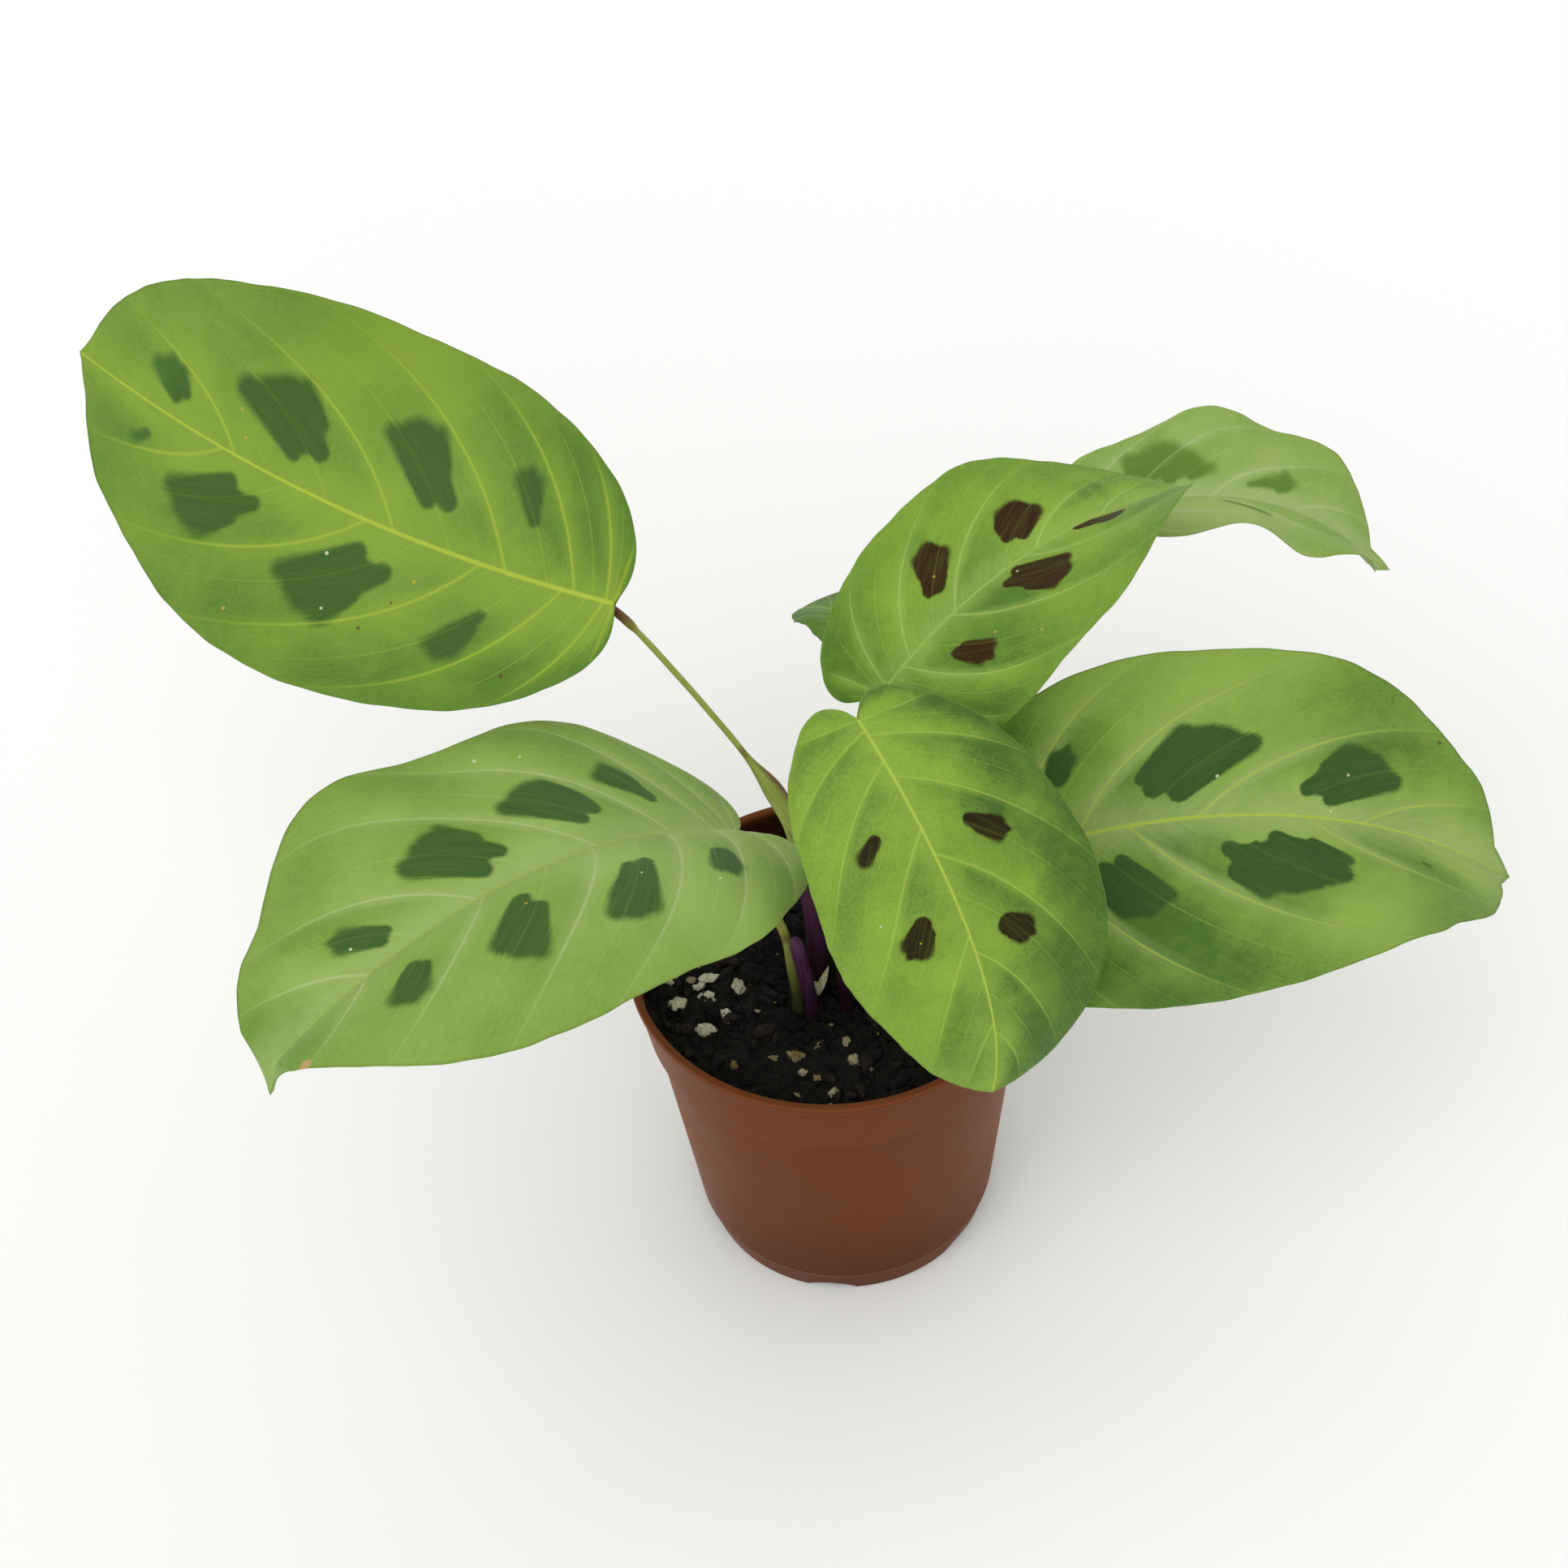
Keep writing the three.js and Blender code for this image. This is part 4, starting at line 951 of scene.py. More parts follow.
def blade_material(name):
    """Green between yellow-green veins, with dark fingered spots and a paler underside."""
    look = LOOKS[name]
    leaf = LEAVES[name]
    length = leaf["length"]
    shader = Shader(f"blade_{name}", specular=0.1)
    ramp, plus, times, mix, tint = shader.ramp, shader.plus, shader.times, shader.mix, shader.tint
    index, lane, spacing = shader.stored("lane")
    along, across, below = shader.stored("flat")
    spot, outward, margin_gap = shader.stored("spot")
    from_midrib = shader.math("ABSOLUTE", across)

    def distance_to_line(count):
        """Distance in millimetres to the nearest of count lines for each main vein."""
        turned = shader.math("FRACT", plus(times(index, float(count)), 0.5))
        return times(shader.gap(turned, 0.5), spacing, 1.0 / count)

    def distance_to_point(half, u, v):
        """Distance in millimetres to a place on the blade."""
        point_along, point_across = lane_point(leaf, leaf[half], u, v)
        sign = 1.0 if half == "left" else -1.0
        off_along = plus(along, -float(point_along))
        off_across = plus(across, -sign * float(point_across))
        return shader.length(off_along, off_across)

    def with_areas(value, sign):
        """The value with the broad areas added whose strength has the sign; they are partly
        painted light and shade.
        """
        for half, u, v, radius, strength in LIGHT_AND_TONE_AREAS[name]:
            if sign * strength > 0:
                area = ramp(distance_to_point(half, u, v), 0.0, radius, sign * strength, 0.0)
                value = plus(value, area)
        return value

    main_gap = distance_to_line(1)
    second_gap = distance_to_line(2)
    fine_gap = distance_to_line(12)
    after_vein = shader.math("FRACT", index)

    flat = shader.join(along, across)
    streaked = shader.join(times(index, 9.0), times(lane, 2.2))
    broad = shader.noise(flat, 0.06)
    mottled = shader.noise(flat, 0.45, 5.0, 0.7)
    grain = shader.noise(flat, 1.6, 4.0)
    streak = shader.noise(streaked, 2.0, 4.0)
    hairline = shader.noise(streaked, 4.5)

    # painted shade just past each main vein and painted light before the next, as the quilting
    # would be lit, and painted shade towards the margin
    shade = look["shade"]
    quilt_shading = times(ramp(from_midrib, 0.5, 5.0), ramp(lane, 0.75, 1.0, shade, 0.3 * shade))
    past = times(ramp(after_vein, 0.0, 0.12), ramp(after_vein, 0.1, 0.65, 1.0, 0.0), quilt_shading)
    # painted shade: each half darker towards its margin, and the blade darker near its base
    left_shade, right_shade = look["half_shade"]
    half_shade = times(ramp(lane, 0.2, 0.85), ramp(across, -0.5, 0.5, right_shade, left_shade))
    base_shade = ramp(along, 0.05 * length, 0.4 * length, look["base_shade"], 0.0)
    darker = plus(
        past, half_shade, times(base_shade, ramp(lane, 0.15, 0.7)), ramp(broad, 0.4, 0.7, 0.0, 0.3),
        ramp(grain, 0.35, 0.7, -0.08, 0.14), ramp(mottled, 0.4, 0.7, -0.02, 0.08),
    )
    # the broad areas add painted light and shade as well as the blade's own lighter and darker
    # green
    colour = mix(with_areas(darker, -1), look["mid"], look["dark"])
    before = times(ramp(after_vein, 0.45, 0.9), ramp(after_vein, 0.9, 1.0, 1.0, 0.5), quilt_shading)
    lighter = plus(before, ramp(broad, 0.55, 0.3, 0.0, 0.4))
    lighter = times(lighter, ramp(lane, 0.6, 1.0, 1.0, 0.4))
    lighter = plus(lighter, ramp(mottled, 0.6, 0.35, -0.02, 0.08))
    colour = mix(with_areas(lighter, 1), colour, look["light"])

    # paler along the midrib and the inner part of the main veins, feathered out
    reach = look["pale_width"]
    near_midrib = ramp(from_midrib, 0.0, reach, 1.0, 0.0)
    near_vein = ramp(main_gap, 0.1, 0.3 * reach, 0.9, 0.0)
    near_vein = times(near_vein, ramp(lane, 0.3, 0.85, 1.0, 0.1))
    pale = shader.math("MAXIMUM", near_midrib, near_vein)
    pale = times(pale, look["pale_share"], ramp(streak, 0.3, 0.7, 0.75, 1.15))
    colour = mix(pale, colour, look["pale"])

    # spots whose outer ends fray along the lines of the veins
    fray = shader.swing(hairline, ramp(outward, 0.4, 1.0, 0.3, look["fray"]))
    frayed = plus(spot, fray, shader.swing(grain, 0.5))
    edge = ramp(outward, 0.3, 1.0, look["soft"], 2.2 * look["soft"])
    spotted = ramp(shader.math("DIVIDE", frayed, edge), -1.0, 1.0, 1.0, 0.0)
    paler_spot = blend(look["spot"], look["mid"], 0.1)
    spot_colour = tint(look["spot"], paler_spot, streak, 0.35, 0.75)
    tip_colour = look.get("spot_tip", look["spot"])
    spot_colour = tint(spot_colour, tip_colour, along, 0.8 * length, 0.86 * length)
    colour = mix(spotted, colour, spot_colour)

    # veins: many faint ones, one between each two main ones, the main ones and the midrib
    width = look["vein_width"]
    past_base = ramp(index, 0.85, 1.15)
    between_main = times(past_base, ramp(spotted, 0.0, 1.0, 1.0, 0.3))
    fine = times(ramp(fine_gap, 0.02, 0.14, 0.05, 0.0), between_main)
    colour = mix(fine, colour, look["vein"])
    second = ramp(second_gap, 0.02, 0.75 * width, 1.0, 0.0)
    second = times(second, ramp(lane, 0.45, 0.9, 0.5 * look["vein_share"], 0.03), between_main)
    colour = mix(second, colour, look["vein"])
    shadow = ramp(times(after_vein, spacing), 0.1, 1.1, 0.3 * shade, 0.0)
    shadow = times(shadow, past_base, ramp(lane, 0.1, 0.3))
    colour = mix(shadow, colour, look["dark"])
    main = ramp(main_gap, 0.1 * width, 1.5 * width, look["vein_share"], 0.0)
    main = times(main, ramp(lane, 0.5, 1.0, 1.0, 0.15), ramp(spotted, 0.0, 1.0, 1.0, 0.7))
    colour = mix(main, colour, look["vein"])
    taper = ramp(along, 0.0, length, look["midrib_width"], MIDRIB_END_WIDTH, "LINEAR")
    rib = shader.math("DIVIDE", from_midrib, taper)
    colour = tint(colour, look["midrib"], rib, 0.5, 1.3, 0.85, 0.0)
    colour = tint(colour, look["edge"], margin_gap, 0.1, 0.5, 0.5, 0.0)

    for half, u, v, radius, mark in MARKS[name]:
        gap = plus(distance_to_point(half, u, v), shader.swing(grain, radius))
        colour = tint(colour, mark, gap, 0.5 * radius, radius, 0.8, 0.0)

    # the dull, paler underside
    under_colour = mix(0.5, colour, UNDERSIDE)
    colour = mix(times(below, 0.85), colour, under_colour)
    relief = plus(ramp(fine_gap, 0.0, 0.3, 0.0, 0.2), times(grain, 0.5), times(streak, 0.5))
    return shader.finish(colour, (grain, 0.3, 0.7, 0.45, 0.6), (relief, 0.1, 0.5))


# ---- Stalks, shoot and bract ---------------------------------------------------------------


def centripetal_curve(knots, steps):
    """Points of the centripetal curve through the knots, evenly spaced along its length."""
    knots = [np.array(knot, float) for knot in knots]
    ends = [2 * knots[0] - knots[1], *knots, 2 * knots[-1] - knots[-2]]
    dense = []
    for i in range(len(knots) - 1):
        p0, p1, p2, p3 = ends[i : i + 4]
        d0, d1, d2 = (max(np.linalg.norm(b - a), 1e-4) ** 0.5
                      for a, b in ((p0, p1), (p1, p2), (p2, p3)))
        t1 = ((p1 - p0) / d0 - (p2 - p0) / (d0 + d1) + (p2 - p1) / d1) * d1
        t2 = ((p2 - p1) / d1 - (p3 - p1) / (d1 + d2) + (p3 - p2) / d2) * d1
        for t in np.linspace(0, 1, 60, endpoint=i == len(knots) - 2):
            dense.append(
                (2 * t**3 - 3 * t**2 + 1) * p1 + (t**3 - 2 * t**2 + t) * t1
                + (3 * t**2 - 2 * t**3) * p2 + (t**3 - t**2) * t2
            )
    dense = np.array(dense)
    lengths = np.concatenate([[0], np.cumsum(np.linalg.norm(np.diff(dense, axis=0), axis=1))])
    even = np.linspace(0, lengths[-1], steps + 1)
    points = np.stack([np.interp(even, lengths, dense[:, k]) for k in range(3)], -1)
    return points, even


def make_rod(name, hole, route, radius_at, material, steps=150, sides=24):
    """A rod from its hole in the soil along a route.

    radius_at gives its radius from the length so far, the length to its end, the height and
    the angle around it.
    """
    heights = (SOIL_LEVEL - HOLE_DEPTH + GAP, SOIL_LEVEL, SOIL_LEVEL + STAND)
    knots = [*((*hole, height) for height in heights), *route]
    points, lengths = centripetal_curve(knots, steps)
    tangents = np.gradient(points, axis=0)
    tangents /= np.linalg.norm(tangents, axis=1, keepdims=True)
    across = np.cross(tangents[0], (0.0, 1.0, 0.0))
    vertices = []
    values = []
    for point, tangent, length in zip(points, tangents, lengths):
        across = across - tangent * np.dot(across, tangent)
        across /= np.linalg.norm(across)
        third = np.cross(tangent, across)
        to_end = lengths[-1] - length
        for j in range(sides):
            angle = 2 * math.pi * j / sides
            radius = radius_at(length, to_end, point[2], angle)
            vertices.append(point + radius * (math.cos(angle) * across + math.sin(angle) * third))
            values.append((to_end, point[2], j / sides))
    faces = [*ring_faces(0, steps, sides), reversed(range(sides))]
    faces.append(range(steps * sides, (steps + 1) * sides))
    obj = make_object(name, vertices, faces, material)
    add_values(obj, "stem", "POINT", np.transpose(values))
    return obj


def make_stalk(name, material):
    """A stalk from its hole up to its blade, with its sheath below and its joint at the top."""
    leaf = LEAVES[name]
    stalk = STALKS[name]
    along, _, normal = blade_axes(leaf, 0.0)
    seat = BLADE_THICKNESS / 2 + RIB_PROUD + GAP + SLANTED_END * stalk["pulvinus"]
    end = np.array(leaf["base"], float) + along * SEAT_REACH - normal * seat
    knee = end - along * KNEE_BACK - normal * KNEE_DOWN
    route = [*stalk["route"], knee, end + normal * SEAT_OVERLAP]

    def radius_at(length, to_end, height, angle):
        swell = smoothstep(PULVINUS_LENGTH + 1.5 - to_end, 0.0, 2.0)
        sheath = smoothstep(stalk["sheath_top"] - height, 0.0, SHEATH_BLEND)
        radius = stalk["radius"] + sheath * (stalk["sheath"] - stalk["radius"])
        radius += swell * (stalk["pulvinus"] - radius)
        waist = 0.12 * math.exp(-(((to_end - PULVINUS_LENGTH - 1.0) / 0.7) ** 2))
        seam = 0.16 * sheath * (1 - swell) * math.exp(-((angle - 1.1) / 0.35) ** 2)
        oval = 0.07 * math.cos(2 * angle) * (1 - swell)
        ripple = 0.03 * math.sin(0.7 * length + 3 * angle) * (1 - swell)
        return radius * (1 + oval + ripple - waist + seam)

    return make_rod(f"petiole_{name}", stalk["hole"], route, radius_at, material)


def make_shoot(material):
    """A young leaf still rolled up, with a rounded tip."""

    def radius_at(length, to_end, height, angle):
        rounded_tip = math.sqrt(max(1 - (1 - min(to_end / 2.2, 1)) ** 2, 0.02))
        wrap = 0.14 * ((angle / (2 * math.pi) + 0.02 * length) % 1.0)
        return SHOOT_RADIUS * (0.9 + wrap) * rounded_tip

    return make_rod("rolled_shoot", SHOOT_HOLE, [SHOOT_TOP], radius_at, material, steps=70)


def make_bract(material):
    """A thin pale scale with a deep split at its top, cupped a little towards the stalks."""
    tip = (0.0, 0.0)
    right_top = (0.26, 1.0)
    split = (0.0, 0.42)
    left_top = (-0.3, 0.55)
    edges = (
        (tip, (0.22, 0.35), right_top), (right_top, (0.1, 0.7), split),
        (split, (-0.12, 0.5), left_top), (left_top, (-0.15, 0.25), tip),
    )
    steps = 14
    made = bmesh.new()
    outline = []
    for edge in edges:
        start, knee, end = BRACT_HEIGHT * np.array(edge)
        for i in range(steps):
            x, z = arc(start, knee, end, i / steps)
            outline.append(made.verts.new((x, 0.0, z)))
    bmesh.ops.triangulate(made, faces=[made.faces.new(outline)])
    bmesh.ops.subdivide_edges(made, edges=made.edges[:], cuts=3, use_grid_fill=True)
    for vertex in made.verts:
        vertex.co.y = -BRACT_CUP * vertex.co.x**2
    made.transform(Matrix.Scale(MM, 4) @ Matrix.Translation(BRACT_TIP))
    obj = from_bmesh("pale_bract", made, material)
    solidify = obj.modifiers.new("thickness", "SOLIDIFY")
    solidify.thickness = BRACT_FINE_THICKNESS * MM
    return obj


def stem_streaks(shader, angle, to_end, turns, stretch):
    """Noise drawn out along a rod."""
    return shader.noise(
        shader.join(shader.times(angle, turns), shader.times(to_end, stretch)), 1.5, 4.0
    )


def stalk_material(name, green, purple, purple_from, purple_to):
    """Green above and purple below the given heights, red along one side of the sheath."""
    shader = Shader(f"stalk_{name}", specular=0.18, roughness=0.45)
    ramp, tint = shader.ramp, shader.tint
    to_end, height, angle = shader.stored("stem")
    streaks = stem_streaks(shader, angle, to_end, 16.0, 0.12)
    colour = tint(green, blend(green, STALK_STREAKS, 0.3), streaks, 0.35, 0.7)
    top = float(STALKS[name]["sheath_top"])
    sheathed = ramp(height, top - 5.0, top + 1.0, 1.0, 0.0)
    reddened = shader.times(ramp(shader.gap(angle, 0.55), 0.1, 0.24, 0.85, 0.0), sheathed)
    colour = shader.mix(reddened, colour, SHEATH_RED)
    colour = tint(colour, SHEATH_TOP_BROWN, shader.gap(height, top), 0.2, 1.2, 0.6, 0.0)
    shifted = shader.plus(height, shader.swing(streaks, 14.0))
    colour = tint(colour, purple, shifted, purple_to, purple_from, 1.0, 0.0)
    joint = ramp(to_end, PULVINUS_LENGTH - 2.0, PULVINUS_LENGTH + 2.0, 1.0, 0.0)
    colour = shader.mix(joint, colour, tint(*PULVINUS_COLOURS, to_end, 1.0, 5.0))
    mottle = shader.noise(shader.position(), 900.0)
    colour = tint(colour, STALK_FLECKS, mottle, 0.5, 0.8, 0.0, 0.25)
    # painted shade: the stalk turns dark towards the soil
    colour = tint(colour, STALK_FOOT_SHADE, height, SOIL_LEVEL + 2.0, SOIL_LEVEL + 19.0, 0.88, 0.0)
    return shader.finish(colour, relief=(streaks, 0.12, 0.5))


def shoot_material():
    dark, pale, tip, foot_shade = SHOOT_COLOURS
    shader = Shader("shoot_violet", specular=0.2)
    to_end, height, angle = shader.stored("stem")
    streaks = stem_streaks(shader, angle, to_end, 12.0, 0.2)
    colour = shader.tint(dark, pale, streaks, 0.3, 0.7)
    colour = shader.tint(colour, tip, to_end, 0.0, 5.0, 0.25, 0.0)
    # painted shade: the shoot turns dark towards the soil
    colour = shader.tint(colour, foot_shade, height, SOIL_LEVEL + 1.0, SOIL_LEVEL + 13.0, 0.8, 0.0)
    return shader.finish(colour, (streaks, 0.3, 0.7, 0.36, 0.52), (streaks, 0.12, 0.5))


def bract_material():
    pale, fibre, foot = BRACT_COLOURS
    shader = Shader("bract_pale", specular=0.3)
    position = shader.position()
    _, _, height = shader.split(position)
    fibres = shader.node("Mapping", Vector=position, Scale=(8.0, 8.0, 0.8)).outputs[0]
    streaks = shader.noise(fibres, 300.0, 4.0)
    colour = shader.tint(pale, fibre, streaks, 0.35, 0.7)
    blush_top = (SOIL_LEVEL + 3.0) * MM
    colour = shader.tint(colour, foot, height, blush_top, SOIL_LEVEL * MM, 0.0, 0.7)
    return shader.finish(colour, (streaks, 0.3, 0.7, 0.5, 0.7), (streaks, 0.1, 0.5))


# ---- Pot -----------------------------------------------------------------------------------


def inner_radius(height):
    """The radius of the pot's inner wall at a height."""
    if height >= COLLAR_FOOT:
        share = (height - COLLAR_FOOT) / (POT_HEIGHT - COLLAR_FOOT)
        return COLLAR_FOOT_RADIUS + share * (COLLAR_TOP_RADIUS - COLLAR_FOOT_RADIUS) - COLLAR_WALL
    share = (height - FOOT_LINE_HEIGHT) / (COLLAR_FOOT - FOOT_LINE_HEIGHT)
    return FOOT_LINE_RADIUS + share * (BODY_TOP_RADIUS - FOOT_LINE_RADIUS) - WALL


def rounded(profile, steps=5):
    """The profile with each inner corner replaced by a small arc of the corner's own radius."""
    points = []
    for i, (radius, height, size) in enumerate(profile):
        here = np.array([radius, height])
        if size == 0:
            points.append(here)
            continue
        before = np.array(profile[i - 1][:2]) - here
        after = np.array(profile[i + 1][:2]) - here
        start = here + before * min(size / np.linalg.norm(before), 0.45)
        end = here + after * min(size / np.linalg.norm(after), 0.45)
        points += [arc(start, here, end, k / steps) for k in range(steps + 1)]
    return points


def add_cylinder(made, segments, radius, length, matrix):
    bmesh.ops.create_cone(
        made, cap_ends=True, segments=segments, radius1=radius * MM, radius2=radius * MM,
        depth=length * MM, matrix=matrix,
    )


def make_pot(material):
    """The thin moulded pot, with rounded edges and arched drain channels under its foot."""
    bead_foot = POT_HEIGHT - RIM_BEAD_HEIGHT
    ledge = COLLAR_FOOT - WALL
    profile = rounded([
        (0.001, 0.0, 0.0),
        (FOOT_RADIUS - FOOT_CHAMFER * 0.25, 0.0, 0.5),
        (FOOT_LINE_RADIUS - 0.25, FOOT_LINE_HEIGHT - 0.1, 0.8),
        (FOOT_LINE_RADIUS, FOOT_LINE_HEIGHT + 0.4, 0.3),
        (BODY_TOP_RADIUS, COLLAR_FOOT - 0.4, 0.3),
        (COLLAR_FOOT_RADIUS, COLLAR_FOOT, 0.45),
        (COLLAR_TOP_RADIUS, bead_foot - 0.4, 0.4),
        (RIM_RADIUS, bead_foot, 0.45),
        (RIM_RADIUS, POT_HEIGHT, 0.4),
        (inner_radius(POT_HEIGHT) + 0.1, POT_HEIGHT, 0.4),
        (inner_radius(bead_foot), bead_foot, 0.3),
        (inner_radius(COLLAR_FOOT), COLLAR_FOOT, 0.3),
        (inner_radius(ledge), ledge, 0.3),
        (inner_radius(FOOT_LINE_HEIGHT), FOOT_LINE_HEIGHT, 0.5),
        (FOOT_RADIUS - WALL, POT_FLOOR, 0.6),
        (0.001, POT_FLOOR, 0.0),
    ])
    vertices = []
    for radius, height in profile:
        vertices += around(radius, POT_SIDES, height)
    faces = ring_faces(0, len(profile) - 1, POT_SIDES)
    obj = make_object("nursery_pot", vertices, faces, material)
    cleaned = bmesh.new()
    cleaned.from_mesh(obj.data)
    bmesh.ops.remove_doubles(cleaned, verts=cleaned.verts[:], dist=0.005 * MM)
    bmesh.ops.recalc_face_normals(cleaned, faces=cleaned.faces[:])
    cleaned.to_mesh(obj.data)
    cleaned.free()

    cutter_mesh = bmesh.new()
    reach = RIM_RADIUS - CHANNEL_INNER_END
    arch_middle = (CHANNEL_INNER_END + reach / 2, 0.0, CHANNEL_DEPTH - CHANNEL_ARCH_RADIUS)
    lie = Matrix.Rotation(math.pi / 2, 4, "Y")
    arch_place = Matrix.Translation(Vector(arch_middle) * MM) @ lie
    drain_place = Matrix.Translation(Vector((DRAIN_DISTANCE, 0.0, DRAIN_MIDDLE)) * MM)
    for i in range(CHANNEL_COUNT):
        angle = math.radians(CHANNEL_FIRST_ANGLE + i * 360 / CHANNEL_COUNT)
        turn = Matrix.Rotation(angle, 4, "Z")
        add_cylinder(cutter_mesh, 64, CHANNEL_ARCH_RADIUS, reach, turn @ arch_place)
        add_cylinder(cutter_mesh, 32, DRAIN_RADIUS, DRAIN_LENGTH, turn @ drain_place)
    cutter = from_bmesh("cutter", cutter_mesh)
    cut = obj.modifiers.new("channels", "BOOLEAN")
    cut.operation = "DIFFERENCE"
    cut.solver = "EXACT"
    cut.use_self = True
    cut.object = cutter
    bpy.context.view_layer.update()
    graph = bpy.context.evaluated_depsgraph_get()
    finished = bpy.data.meshes.new_from_object(obj.evaluated_get(graph))
    obj.modifiers.clear()
    obj.data = finished
    bpy.data.objects.remove(cutter)
    finished.shade_smooth()
    finished.set_sharp_from_angle(angle=math.radians(SHARP_ANGLE))
    return obj


def pot_material():
    """Smooth moulded brown plastic with a red cast, faintly cloudy, with painted shade towards
    the foot, a painted highlight on the lip and soil stain with painted shade inside.
    """
    shader = Shader("pot_plastic", specular=0.06)
    shader.set(shader.surface.inputs["Sheen Weight"], 0.21)
    shader.set(shader.surface.inputs["Sheen Tint"], POT_SHEEN)
    position = shader.position()
    x, y, height = shader.split(position)
    cloudy = shader.noise(position, 40.0, 4.0)
    grain = shader.noise(position, 2400.0, 4.0, 0.6)
    colour = shader.tint(POT_BROWN, POT_CLOUD, cloudy, 0.35, 0.7)
    # painted shade: the brown turns darker towards the foot
    colour = shader.tint(colour, POT_FOOT_SHADE, height, 0.5 * POT_HEIGHT * MM, 0.0, 0.0, 0.85)
    colour = shader.tint(colour, POT_DUST, grain, 0.5, 0.8, 0.0, 0.08)
    # painted highlight: the top of the rim turns lighter
    lip_low = (POT_HEIGHT - 1.0) * MM
    lip_high = (POT_HEIGHT - 0.3) * MM
    colour = shader.tint(colour, POT_LIP_HIGHLIGHT, height, lip_low, lip_high, 0.0, 0.35)
    # soil stain and painted shade: the inner wall just above the soil turns near-black
    wall = inner_radius(POT_HEIGHT - 2.0) * MM
    rim = (inner_radius(POT_HEIGHT) + 0.1) * MM
    inside = shader.ramp(shader.length(x, y), wall, rim, 0.85, 0.0)
    above_soil = shader.ramp(height, (SOIL_LEVEL - 1.0) * MM, SOIL_LEVEL * MM)
    colour = shader.mix(shader.times(inside, above_soil), colour, POT_SOIL_STAIN_AND_SHADE)
    return shader.finish(colour, (cloudy, 0.3, 0.7, 0.42, 0.54), (grain, 0.04, 0.5))


# ---- Soil ----------------------------------------------------------------------------------


def soil_height(x, y):
    """The broad form of the soil's surface, as in the CAD source."""
    coarse = math.sin(0.31 * x + 1.3) * math.cos(0.27 * y - 0.6)
    fine = math.sin(0.83 * x - 0.71 * y + 2.1) + math.cos(0.64 * x + 0.92 * y)
    edge = math.hypot(x, y) / inner_radius(SOIL_LEVEL)
    return SOIL_LEVEL + SOIL_RELIEF * (0.5 * coarse + 0.25 * fine) * (1 - edge**4)


def crumbs(x, y):
    """The soil's own crumbs over its broad form, in millimetres."""
    spot = Vector((x, y, 3.7))
    lumps = 0.9 * noise.noise(spot * 0.45) + 0.7 * noise.noise(spot * 1.1)
    distance = noise.voronoi(spot * 0.8)[0][0]
    return lumps + 0.9 * (0.35 - distance) + 0.3 * noise.noise(spot * 2.9)


def make_soil(material):
    """The filling: a plain underside and wall, and rings of crumbs from the wall inwards."""
    sides = SOIL_SIDES
    heights = (FOOT_LINE_HEIGHT, SOIL_MIDDLE, SOIL_LEVEL)
    foot, middle, edge = (
        inner_radius(height) - clearance for height, clearance in zip(heights, SOIL_CLEARANCES)
    )
    vertices = [(0, 0, FOOT_LINE_HEIGHT)]
    vertices += around(foot, sides, FOOT_LINE_HEIGHT)
    vertices += around(middle, sides, SOIL_MIDDLE)
    for i in range(SOIL_RINGS):
        for x, y, _ in around(edge * (1 - i / SOIL_RINGS), sides, SOIL_LEVEL, 0.5 * (i % 2)):
            vertices.append((x, y, soil_height(x, y) + crumbs(x, y)))
    vertices.append((0, 0, soil_height(0, 0)))
    inmost = 1 + (SOIL_RINGS + 1) * sides
    faces = list(ring_faces(1, SOIL_RINGS + 1, sides))
    for j in range(sides):
        k = (j + 1) % sides
        faces += [(0, 1 + k, 1 + j), (inmost + j, inmost + k, len(vertices) - 1)]
    return make_object("potting_soil", vertices, faces, material)


def add_lump(made, rng, centre, radius, stretch, roughness, detail):
    """Adds an uneven pebble to the bmesh and gives back its vertices."""
    vertices = bmesh.ops.create_icosphere(made, subdivisions=detail, radius=1.0)["verts"]
    turn = Matrix.Rotation(rng.uniform(0, 2 * math.pi), 3, "Z")
    turn = turn @ Matrix.Rotation(rng.uniform(-0.6, 0.6), 3, "X")
    shift = Vector([rng.uniform(0, 50) for _ in range(3)])
    for vertex in vertices:
        direction = vertex.co.normalized()
        bulge = roughness * noise.noise(direction * 1.3 + shift)
        bulge += 0.5 * roughness * noise.noise(direction * 3.1 + shift)
        point = direction * (1 + bulge) * Vector(stretch)
        vertex.co = (turn @ point * radius + centre) * MM
    return vertices


def strewn(rng, inner, outer):
    """A random place on the soil between two distances from the middle."""
    angle = rng.uniform(0, 2 * math.pi)
    distance = math.sqrt(rng.uniform(inner**2, outer**2))
    return distance * math.cos(angle), distance * math.sin(angle)


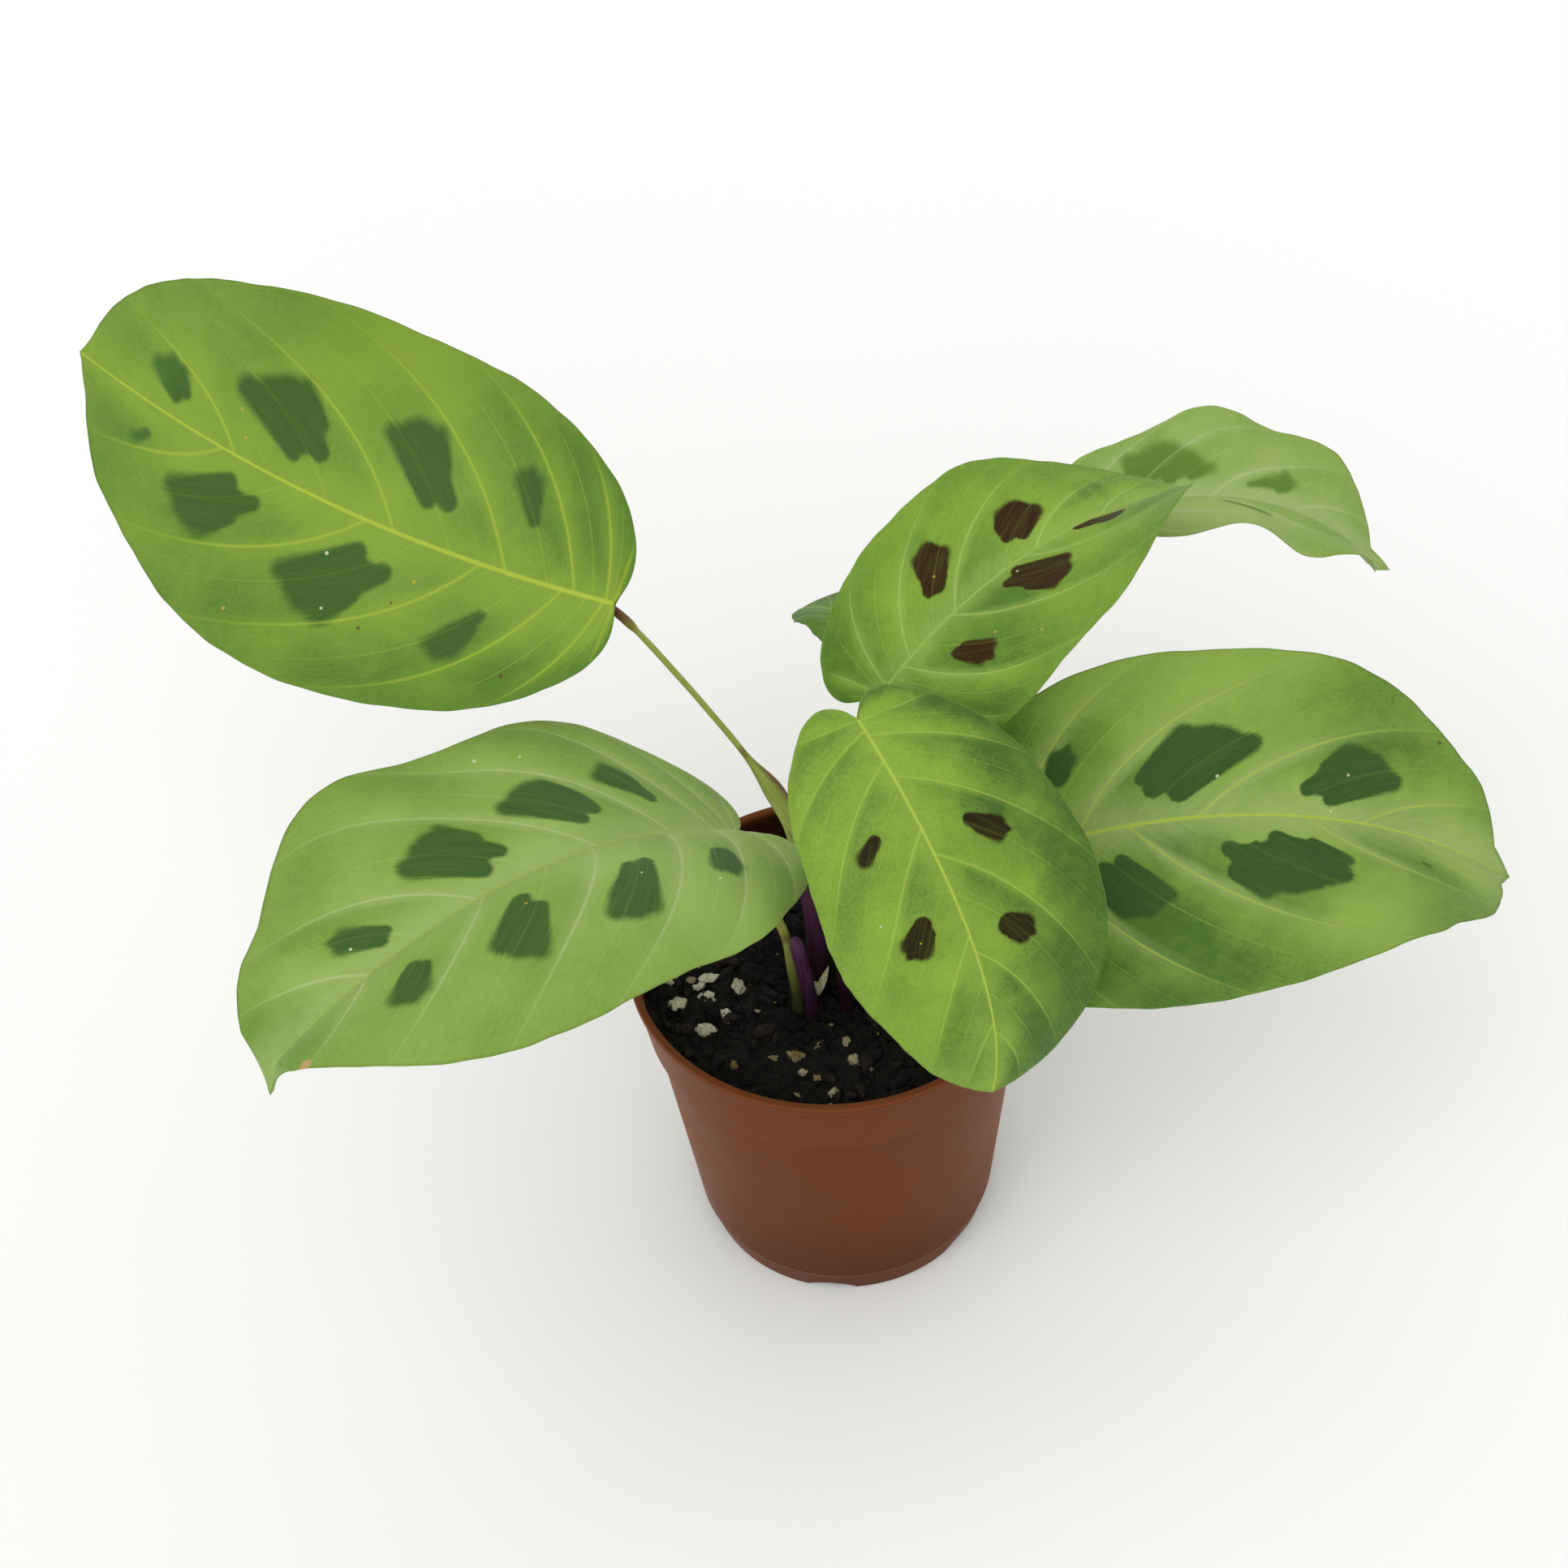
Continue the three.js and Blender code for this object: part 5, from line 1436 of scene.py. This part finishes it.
def make_perlite(material):
    """The grains: white ones at the left, duller ones in front, hidden ones and small crumbs."""
    rng = random.Random(SEED)
    made = bmesh.new()
    tone = made.verts.layers.float.new("tone")
    places = []
    for x, y, radius in SEEN_GRAINS:
        is_dull = y < DULL_FRONT
        scale = DULL_GRAIN_SCALE if is_dull else WHITE_GRAIN_SCALE
        places.append((x, y, scale * radius, is_dull))
    for _ in range(HIDDEN_GRAINS):
        place_on_soil = strewn(rng, *HIDDEN_RING)
        places.append((*place_on_soil, rng.uniform(0.6, 1.1), rng.random() < 0.5))
    for _ in range(SMALL_GRAINS):
        places.append((*strewn(rng, *SMALL_RING), rng.uniform(0.2, 0.45), True))
    for x, y, radius, is_dull in places:
        centre = Vector((x, y, soil_height(x, y) + max(crumbs(x, y), 0) + 0.15 * radius))
        stretch = (rng.uniform(0.85, 1.35), rng.uniform(0.65, 1.0), rng.uniform(0.6, 0.85))
        detail = 3 if radius > 0.6 else 2
        vertices = add_lump(made, rng, centre, radius, stretch, 0.75, detail)
        shade = rng.uniform(0.55, 1.0) if is_dull else rng.uniform(0.0, 0.3)
        for vertex in vertices:
            vertex[tone] = shade
    return from_bmesh("perlite_grains", made, material, smooth=True)


def make_crumbs(material):
    """Loose dark crumbs and short bits of bark on the soil."""
    rng = random.Random(SEED + 1)
    made = bmesh.new()
    for _ in range(LOOSE_CRUMBS):
        x, y = strewn(rng, *CRUMB_RING)
        radius = rng.uniform(0.25, 1.0) ** 1.5 * 1.3
        centre = Vector((x, y, soil_height(x, y) + crumbs(x, y) + 0.2 * radius))
        stretch = (rng.uniform(0.9, 2.0), 0.8, 0.6)
        add_lump(made, rng, centre, radius, stretch, 0.7, 2)
    return from_bmesh("soil_crumbs", made, material, smooth=True)


def soil_material():
    damp, drier, dust = SOIL_COLOURS
    shader = Shader("soil_dark", specular=0.25)
    patches = shader.noise(shader.position(), 260.0, 5.0, 0.65)
    fine = shader.noise(shader.position(), 1500.0, 5.0, 0.7)
    colour = shader.tint(damp, drier, patches, 0.35, 0.7)
    colour = shader.tint(colour, dust, fine, 0.58, 0.8, 0.0, 0.7)
    return shader.finish(colour, (fine, 0.3, 0.8, 0.7, 0.98), (fine, 0.35, 0.9))


def crumb_material():
    soil, bark, pale_bark, hollow = CRUMB_COLOURS
    shader = Shader("soil_crumb", specular=0.25)
    kinds = shader.noise(shader.position(), 150.0, 2.0, 0.5)
    fine = shader.noise(shader.position(), 1400.0, 5.0, 0.7)
    colour = shader.tint(soil, bark, kinds, 0.5, 0.66)
    colour = shader.tint(colour, pale_bark, kinds, 0.66, 0.74)
    colour = shader.tint(colour, hollow, fine, 0.5, 0.8, 0.0, 0.5)
    return shader.finish(colour, (fine, 0.3, 0.8, 0.75, 0.98), (fine, 0.3, 0.8))


def perlite_material():
    white, stained, pitted = PERLITE_COLOURS
    shader = Shader("perlite_white", specular=0.3)
    stain = shader.noise(shader.position(), 170.0)
    cells = shader.node("TexVoronoi", Vector=shader.position(), Scale=1900.0)
    pits = cells.outputs["Distance"]
    tone = shader.plus(shader.attribute("tone", "Fac"), shader.ramp(stain, 0.4, 0.7, -0.1, 0.3))
    colour = shader.mix(tone, white, stained)
    colour = shader.tint(colour, pitted, pits, 0.1, 0.5, 0.55, 0.0)
    return shader.finish(colour, (pits, 0.0, 0.6, 0.95, 0.75), (pits, 0.3, 0.8))


# ---- Building the object -------------------------------------------------------------------

for leaf_name in LEAVES:
    place(make_blade(leaf_name, blade_material(leaf_name)), "blade", f"blade_{leaf_name}")

for stalk_name in STALKS:
    looks = STALK_COLOURS.get(stalk_name, OTHER_STALKS)
    stalk = make_stalk(stalk_name, stalk_material(stalk_name, *looks))
    place(stalk, "stalk", f"stalk_{stalk_name}")

place(make_shoot(shoot_material()), "shoot", "young_shoot")
place(make_bract(bract_material()), "bract", "bract")
place(make_pot(pot_material()), "pot_plastic", "pot")
place(make_soil(soil_material()), "soil", "soil")
place(make_crumbs(crumb_material()), "soil")
place(make_perlite(perlite_material()), "soil")

# ---- Stage, lights and camera --------------------------------------------------------------

floor_shader = Shader("pale_floor", specular=0.1, roughness=0.8)
floor_tone = floor_shader.noise(floor_shader.position(), 3.0, 2.0)
floor_material = floor_shader.finish(floor_shader.mix(floor_tone, "#f7f6f4", "#fcfcfb"))
floor_corners = list(around(math.sqrt(2) * FLOOR_REACH, 4, 0.0, 0.5))
floor = make_object("floor", floor_corners, [range(4)], floor_material)

world = bpy.data.worlds.new("studio")
world.use_nodes = True
background = world.node_tree.nodes["Background"]
background.inputs["Color"].default_value = (1.0, 1.0, 1.0, 1.0)
background.inputs["Strength"].default_value = WORLD_LIGHT
bpy.context.scene.world = world

# name, the direction towards the light, its strength and its spread in degrees
for light_name, towards, strength, spread in (
    ("key", (-0.25, -0.6, 0.78), 1.2, 60.0), ("back", (0.2, 0.7, 0.8), 0.25, 60.0),
):
    light_data = bpy.data.lights.new(light_name, "SUN")
    light_data.energy = strength
    light_data.angle = math.radians(spread)
    light = add_object(light_name, light_data)
    light.rotation_euler = Vector(towards).to_track_quat("Z", "Y").to_euler()

elevation = math.radians(CAMERA_ELEVATION)
back = Vector((0.0, -math.cos(elevation), math.sin(elevation)))
level_right = Vector((1.0, 0.0, 0.0))
level_up = level_right.cross(-back)
camera_roll = math.radians(CAMERA_ROLL)
camera_right = math.cos(camera_roll) * level_right + math.sin(camera_roll) * level_up
camera_up = math.cos(camera_roll) * level_up - math.sin(camera_roll) * level_right
camera_data = bpy.data.cameras.new("camera")
camera_data.lens = CAMERA_LENS
camera_data.sensor_width = SENSOR_WIDTH
camera_data.clip_start = 0.01
camera_data.clip_end = 20.0
camera = add_object("camera", camera_data)
camera_place = Matrix.Translation((Vector(CAMERA_TARGET) + back * CAMERA_DISTANCE) * MM)
camera_turn = Matrix((camera_right, camera_up, back)).transposed().to_4x4()
camera.matrix_world = camera_place @ camera_turn
bpy.context.scene.camera = camera
bpy.context.scene.view_settings.view_transform = "Standard"

bpy.context.view_layer.update()
